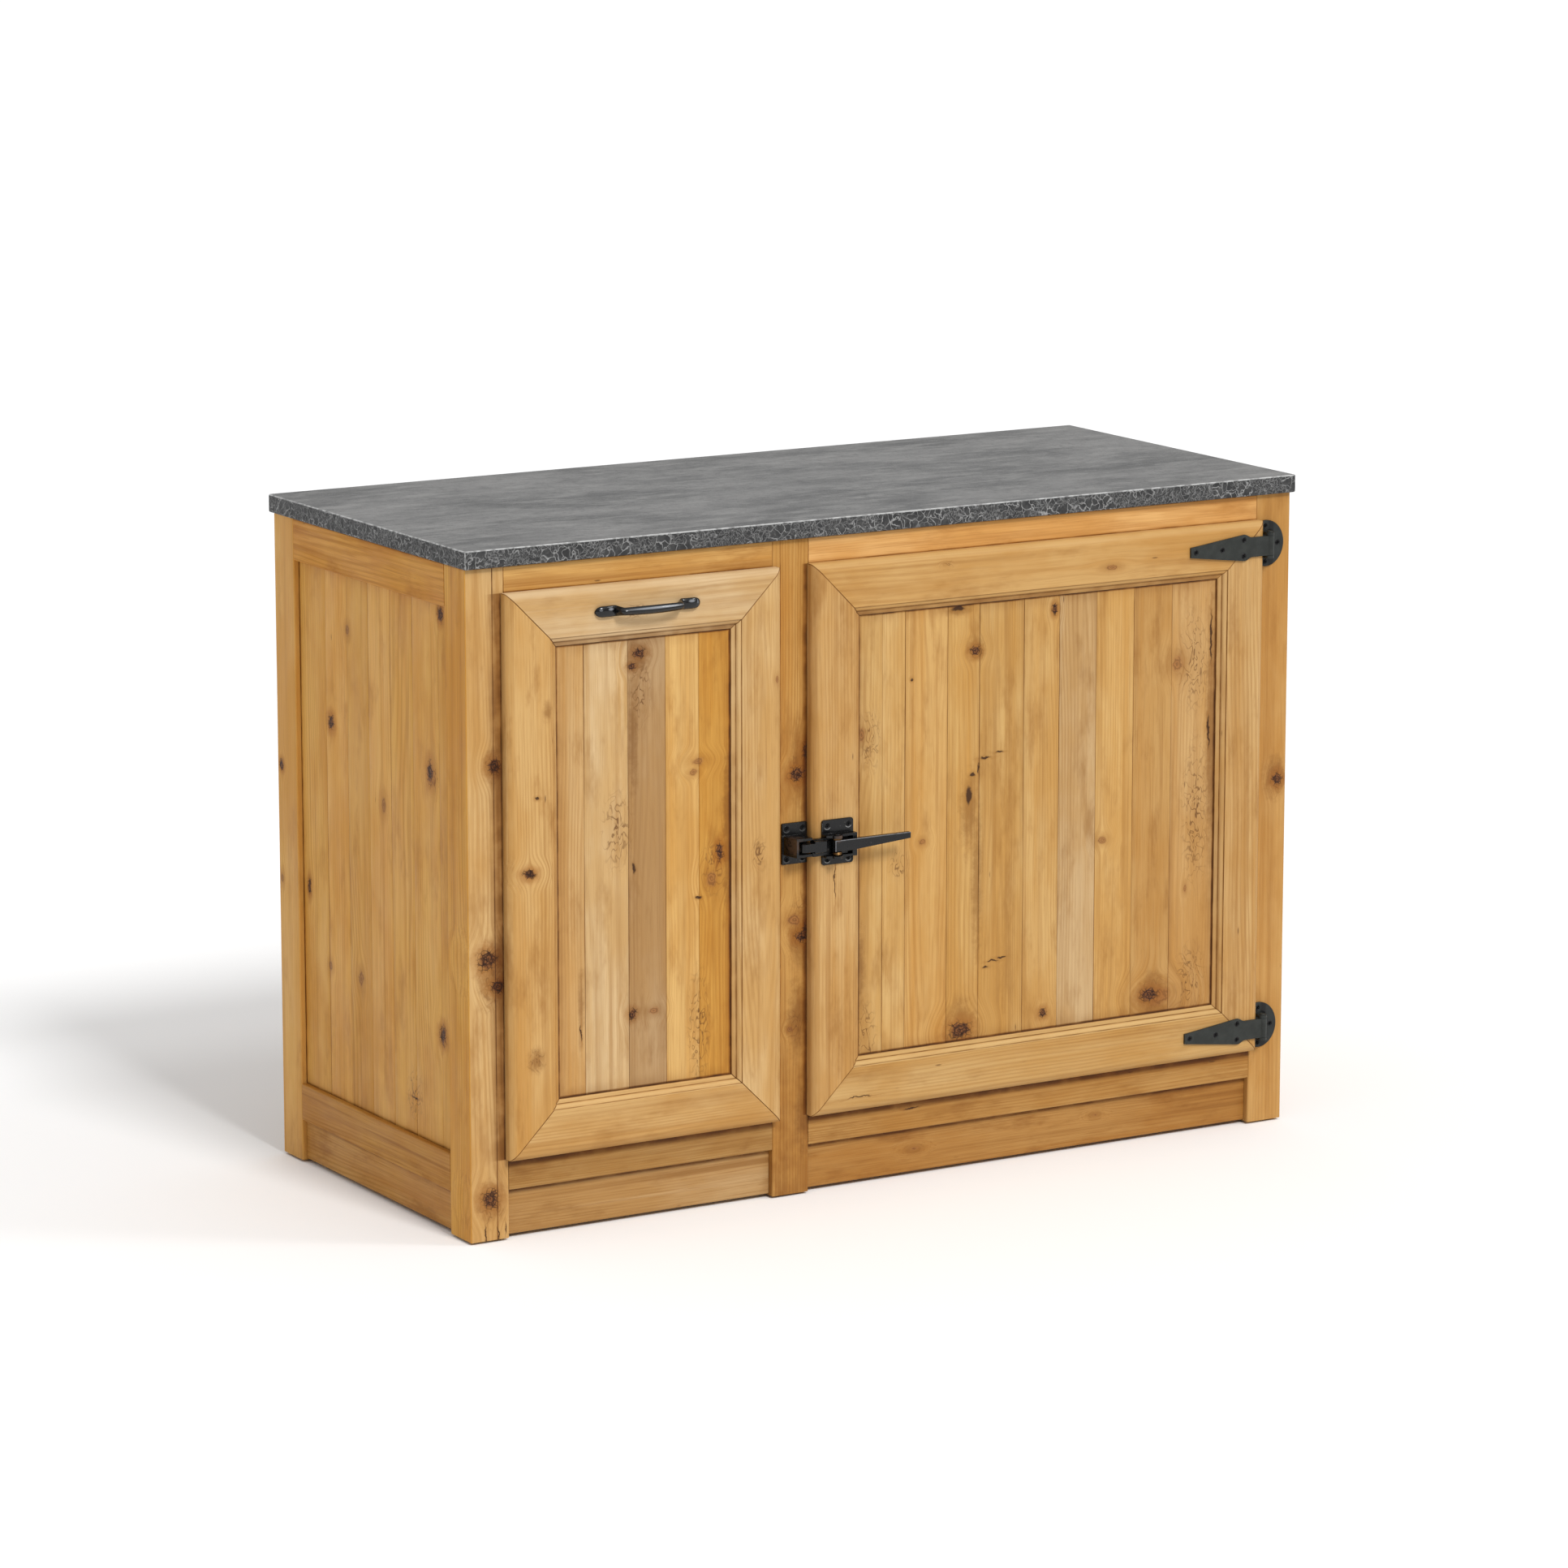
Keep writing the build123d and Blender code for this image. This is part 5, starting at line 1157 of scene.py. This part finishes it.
for label, data in fronts.items():
    low, high = data["box"]
    x_span, z_span = (low.x, high.x), (low.z, high.z)
    for order, side in enumerate(("left", "right", "top", "bottom")):
        upright = side in ("left", "right")
        member = f"{label}_{'stile' if upright else 'rail'}_{side}"
        arches = side == "right" and label == "pullout"
        dress(
            member,
            pine(
                f"pine_{member}",
                data[side],
                grain="z" if upright else "x",
                plane=DOOR_Y,
                pith=((high.x - 0.03, DOOR_Y + 0.035) if arches else (0.8 + 0.13 * order, 0.25)),
                lean=0.05 if arches else 0.015,
                shift=(0.0, 0.0, 0.0) if arches else (0.4 * order, 0.23 * order, 0.6 + order),
                contrast=1.55 if upright else 1.05,
                dirt_and_shade=moulding_shade_and_mitres(side, x_span, z_span),
                # Wear and a painted highlight along the top rail's upper arris, and a painted highlight on
                # the bottom rail's bead.
                wear_and_highlight_edge={
                    "top": shade_line("z", z_span[1], -0.011, 0.8),
                    "bottom": shade_line("z", z_span[0] + 0.0603, 0.02, 0.95),
                }.get(side),
                **member_marks.get(member, {}),
            ),
        )

# Boards of the fronts and the sides. The insets are how far the frames cover their borders.
PANEL_INSET = 0.0095
SIDE_INSET = 0.0065
panels = {
    "pullout": {
        "seed": 11,
        "shares": (50, 64, 55, 49, 56),
        "arches": ((2, 0.003, -0.014), (4, -0.010, -0.012)),
        "tints": ((201, 160, 103), (210, 177, 128), (179, 143, 97), (213, 168, 99), (201, 147, 65)),
        "marks": {
            "weathered": 0.2,
            "knots": ((-386, 749, 9, 7), (-397, 733, 6, 5), (-398, 278, 6, 7), (-268, 478, 6, 12)),
            "pale_knots": ((-367, 279, 8, 6), (-307, 586, 7, 5), (-280, 443, 9, 11), (-300, 600, 12, 6)),
            "cracks": ((-396, 470, 2, 8), (-474, 262, 1.0, 12), (-300, 420, 4, 2)),
            "stains": ((-388, 742, 20, 22), (-256, 500, 9, 120), (-474, 300, 5, 60), (-396, 640, 8, 90)),
            "swirls": ((-420, 522, 26, 60), (-276, 458, 24, 44), (-300, 250, 20, 90), (-385, 700, 18, 60)),
        },
    },
    "door": {
        "seed": 23,
        "shares": (47, 35, 66, 50, 70, 56, 59, 60, 62, 81),
        "arches": ((2, 0.006, 0.016), (4, -0.012, -0.014), (6, 0.004, -0.012), (8, 0.010, 0.015)),
        "tints": (
            (205, 166, 105), (207, 167, 105), (204, 159, 93), (203, 160, 94), (200, 159, 96),
            (201, 159, 96), (195, 160, 111), (207, 165, 101), (189, 144, 82), (198, 156, 98),
        ),
        "marks": {
            "weathered": 0.1,
            "knots": (
                (122, 705, 8, 7), (246, 750, 5, 7), (232, 202, 6, 6), (100, 194, 17, 12),
                (404, 206, 14, 9),
            ),
            "pale_knots": (
                (325, 429, 8, 6), (41, 457, 6, 5), (444, 658, 10, 12), (-54, 609, 6, 10),
                (461, 347, 3, 7), (420, 202, 20, 14),
            ),
            "cracks": (
                (113, 512, 5, 14), (118, 540, 5, 3), (138, 560, 10, 1.6), (160, 566, 8, 1.4),
                (128, 548, 1.6, 7), (152, 283, 10, 1.6), (166, 287, 7, 1.6), (140, 276, 5, 2),
                (94, 764, 12, 4), (24, 676, 3, 3), (498, 690, 1.6, 40), (496, 560, 1.8, 26),
            ),
            "stains": (
                (122, 708, 16, 18), (94, 762, 22, 10), (114, 490, 16, 60), (104, 205, 26, 34),
                (500, 560, 10, 200), (410, 212, 24, 30), (-56, 300, 10, 60), (126, 400, 10, 120),
            ),
            "swirls": (
                (470, 660, 30, 80), (476, 450, 26, 120), (470, 220, 28, 60), (408, 210, 28, 26),
                (-45, 200, 18, 60), (-40, 600, 18, 50), (4, 430, 18, 26),
            ),
        },
    },
}
for label, data in panels.items():
    low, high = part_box(f"{label}_boards")
    finish = pine(
        f"pine_{label}_boards",
        None,
        plane=PANEL_Y,
        boards=True,
        lean=BOARD_LEAN,
        contrast=1.5,
        # Dark joints between the boards, and dirt with painted shade along the border under the frame.
        dirt_and_shade=joined(
            board_joint,
            near_border(
                (low.x + PANEL_INSET, low.z + PANEL_INSET),
                (high.x - PANEL_INSET, high.z - PANEL_INSET),
                0.0050,
                1.0,
                front=PANEL_Y,
            ),
        ),
        **data["marks"],
    )
    plan = ((low.x, PANEL_Y, 0), (1, 0, 0), (0, 1, 0), high.x - low.x, high.y - low.y)
    board_set(
        f"{label}_boards", plan, finish, data["seed"], data["shares"], data["tints"], data["arches"]
    )
side_shares = (81, 62, 61, 62, 62, 72, 40)
side_tints = (
    (181, 136, 66), (185, 139, 70), (178, 134, 66), (184, 139, 72), (180, 134, 64), (183, 138, 69),
    (177, 131, 61),
)
for label, sign in (("left", -1), ("right", 1)):
    low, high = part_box(f"side_boards_{label}")
    outer = low.x if sign < 0 else high.x
    shown = label == "left"
    finish = pine(
        f"pine_side_boards_{label}",
        None,
        face="x",
        plane=outer,
        boards=True,
        lean=BOARD_LEAN,
        contrast=1.15,
        knots=side_knots if shown else ((90, 420, 8, 10), (-120, 640, 7, 9)),
        pale_knots=side_pale if shown else ((10, 260, 7, 9),),
        swirls=((-85, 162, 26, 40), (-150, 590, 14, 30)) if shown else (),
        cracks=((-85, 158, 12, 1.4),) if shown else (),
        # Dark joints, dirt with painted shade under the rails and posts, and painted shade darker towards
        # the bottom.
        dirt_and_shade=joined(
            board_joint,
            near_border(
                (low.y + SIDE_INSET, low.z + SIDE_INSET),
                (high.y - SIDE_INSET, high.z - SIDE_INSET),
                0.006,
                0.6,
                "yz",
            ),
            shade_line("z", low.z, 0.38, 0.17),
        ),
    )
    plan = ((outer, high.y, 0), (0, -1, 0), (-sign, 0, 0), high.y - low.y, high.x - low.x)
    board_set(f"side_boards_{label}", plan, finish, 31 + sign, side_shares, side_tints)

# Stone, iron, steel, bronze and plastic
dress("worktop", stone("dark_stone"), 0.0007)
handle_low, handle_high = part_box("pull_handle")
handle_z = (handle_low.z + handle_high.z) / 2
gloss_iron = black_iron(
    "gloss_black_iron",
    (6, 6, 7),
    0.19,
    patina=(((-322.5, -287, 808), 4.5),),
    speckle=0.06,
    cast_depth=0.000006,
    gloss=0.48,
    # Painted highlights on the upper front of the handle's bar and on its feet.
    highlight_spots=(
        ((handle_low.x + handle_high.x) / 2 + 0.004, handle_z + 0.0024, 0.044, 0.0015, 0.9),
        (handle_low.x + 0.020, handle_z + 0.0030, 0.004, 0.0018, 0.8),
        (handle_high.x - 0.014, handle_z + 0.0034, 0.005, 0.0018, 0.85),
        (handle_low.x + 0.006, handle_z + 0.0025, 0.0025, 0.0015, 0.45),
        (handle_high.x - 0.005, handle_z + 0.0020, 0.0015, 0.0030, 0.45),
    ),
)
plate_middle = (-97.5, 475)
keeper_middle = (-152, 475)
latch_screws = [
    (middle[0] + x, middle[1] + z, strength)
    for middle, x_half, z_half, strength in (
        (plate_middle, 16, 22.25, 0.7), (keeper_middle, 12, 20, 0.25)
    )
    for x in (-x_half, x_half)
    for z in (-z_half, z_half)
]
worn_iron = black_iron(
    "worn_black_iron",
    (8, 8, 9),
    0.27,
    patina=(((-163, -274, 478), 14), ((-107, -295, 483), 6)),
    bright=0.12,
    speckle=0.15,
    cast_depth=0.00002,
    gloss=0.38,
    # Painted shade in the screw holes with painted highlights under them, and bright arrises on the lever
    # and the bolt, partly wear and partly painted highlight.
    rim_shade_and_highlight=latch_screws,
    wear_and_highlight=(("latch_lever", 0.0013, 0.9), ("latch_bolt", 0.0010, 0.6)),
)
dull_steel = black_iron(
    "dull_dark_steel", (33, 36, 33), 0.52, speckle=0.35, cast_depth=0.0001, gloss=0.35
)
plate_steel = black_iron(
    "dull_plate_steel",
    (30, 33, 31),
    0.5,
    speckle=0.35,
    cast_depth=0.0001,
    gloss=0.35,
    # A painted shadow down the hinge plate beside the barrel.
    shade=stripe("x", 0.5975, 0.0062, 0.95),
)
screw_steel = black_iron(
    "dark_screw_steel", (13, 13, 14), 0.4, speckle=0.3, cast_depth=0.0001, gloss=0.24
)
zinc = plain_metal("zinc_plated_steel", (176, 178, 180), 0.32, (0.2, 1, 1))
bronze = plain_metal("worn_bronze", (124, 94, 58), 0.42, (1, 1, 0.2), tarnish=(40, 31, 23))
glide_plastic = moulded_plastic("glide_plastic", (38, 38, 38))
for label in ("latch_base", "latch_bolt", "latch_keeper", "latch_lever"):
    dress(label, worn_iron, 0.0005, shortest=0.004)
dress("latch_pin", worn_iron, 0)
for label in ("hinge_straps", "hinge_pins"):
    dress(label, dull_steel, 0)
dress("hinge_plates", plate_steel, 0)
cross_screws("door_hardware_screws", screw_steel)
cross_screws("post_hardware_screws", screw_steel)
for label in ("outer", "middle", "inner"):
    paint(f"runner_{label}", zinc)
for label in ("front_brackets", "shelf_pins", "handle_screws"):
    paint(label, zinc)
for label in ("latch_washer", "latch_spring"):
    dress(label, bronze, 0)
paint("floor_glides", glide_plastic)


def pull_handle(material):
    """A cast bow handle: one smooth skin from the end of one foot to the end of the other.

    Along the path the centre stands off the door by a bow over the span, and eases down to
    the feet. Each section is a superellipse square to the path, with soft flats on the bar.
    Its half height and half depth are the bar's over the span and the foot's at the ends,
    where both shrink to nothing, the depth as a dome, and nothing goes behind the door's face.
    """
    low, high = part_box("pull_handle")
    centre = (low + high) / 2
    half_length = (high.x - low.x) / 2 / MM
    foot_half, foot_middle = 14.2, half_length - 14.2
    run = half_length * np.sin(np.linspace(-math.pi / 2, math.pi / 2, 161))
    away = np.abs(run)
    foot = np.clip((away - 40.5) / 8.5, 0, 1)
    foot = foot * foot * (3 - 2 * foot)
    bow = 19.4 - 3.2 * (away / 40) ** 2
    along = (away - foot_middle) / foot_half
    taper = np.maximum(1 - np.clip(along, 0, 1) ** 3.4, 0) ** (1 / 2.4)
    dome = 3.9 * np.sqrt(1 - 0.5 * np.clip(along, -1, 1) ** 2) * taper**0.7
    half_height = (5.7 - 0.7 * (away / 42) ** 2) * (1 - foot) + 7.2 * foot * taper
    half_depth = 4.4 * (1 - foot) + dome * foot
    stand_off = bow * (1 - foot) + dome * foot
    slope = np.gradient(stand_off, run)
    length = np.sqrt(1 + slope**2)
    lean_x, lean_out = -slope / length, 1 / length
    around = 40
    turn = np.linspace(0, math.tau, around, endpoint=False)
    power = 2 / (1.45 + 0.65 * foot)[:, None]
    across = np.sign(np.cos(turn)) * np.abs(np.cos(turn)) ** power * half_depth[:, None]
    up = np.sign(np.sin(turn)) * np.abs(np.sin(turn)) ** power * half_height[:, None]
    x = run[:, None] + across * lean_x[:, None]
    out = np.maximum(stand_off[:, None] + across * lean_out[:, None], 0.02)
    points = np.stack((x, -out, up), axis=-1) * MM + np.array((centre.x, DOOR_Y, centre.z))
    faces = skin_faces(len(run), around, True)
    return new_piece("pull_handle_cast", points, faces, material, "pull_handle", 60)


pull_handle(gloss_iron)

# Floor, light and camera
floor_mesh = bpy.data.meshes.new("studio_floor")
floor_mesh.from_pydata([(-60, -60, 0), (60, -60, 0), (60, 60, 0), (-60, 60, 0)], [], [(0, 1, 2, 3)])
floor = bpy.data.objects.new("studio_floor", floor_mesh)
bpy.context.scene.collection.objects.link(floor)
floor_finish = Finish("pale_floor")
floor_finish.set(Base_Color=(0.95, 0.95, 0.95, 1), Roughness=0.9, Specular_IOR_Level=0.0)
floor_mesh.materials.append(floor_finish.material)

world = bpy.data.worlds.new("studio_light")
world.use_nodes = True
sky = world.node_tree
way = sky.nodes.new("ShaderNodeTexCoord").outputs["Generated"]
split = sky.nodes.new("ShaderNodeSeparateXYZ")
sky.links.new(way, split.inputs[0])
glow = sky.nodes.new("ShaderNodeMapRange")
for index, number in ((1, 0.0), (2, 1.0), (3, 0.30), (4, 0.80)):
    glow.inputs[index].default_value = number
sky.links.new(split.outputs[2], glow.inputs[0])
sky.nodes["Background"].inputs["Color"].default_value = (1, 1, 1, 1)
sky.links.new(glow.outputs[0], sky.nodes["Background"].inputs["Strength"])
bpy.context.scene.world = world


def soft_sun(name, energy, spread, towards):
    """A lamp as far as the sun: its direction is given from the object towards it."""
    data = bpy.data.lights.new(name, "SUN")
    data.energy = energy
    data.angle = math.radians(spread)
    lamp = bpy.data.objects.new(name, data)
    x, y, z = np.array(towards) / np.linalg.norm(towards)
    lamp.rotation_euler = (math.acos(z), 0, math.atan2(x, -y))
    bpy.context.scene.collection.objects.link(lamp)


soft_sun("soft_overhead_light", 1.9, 14, (0.04, -0.74, 0.67))
soft_sun("small_key_light", 0.42, 10, (0.60, -0.42, 0.68))

camera_data = bpy.data.cameras.new("camera")
camera_data.sensor_width = 36
camera_data.lens = 141.505
camera_data.clip_end = 200
camera = bpy.data.objects.new("camera", camera_data)
camera.location = (-4.18153, -6.99075, 2.13822)
camera.rotation_euler = (math.radians(78.5865), 0, math.radians(-30.791))
bpy.context.scene.collection.objects.link(camera)
bpy.context.scene.camera = camera
bpy.context.scene.view_settings.view_transform = "Standard"
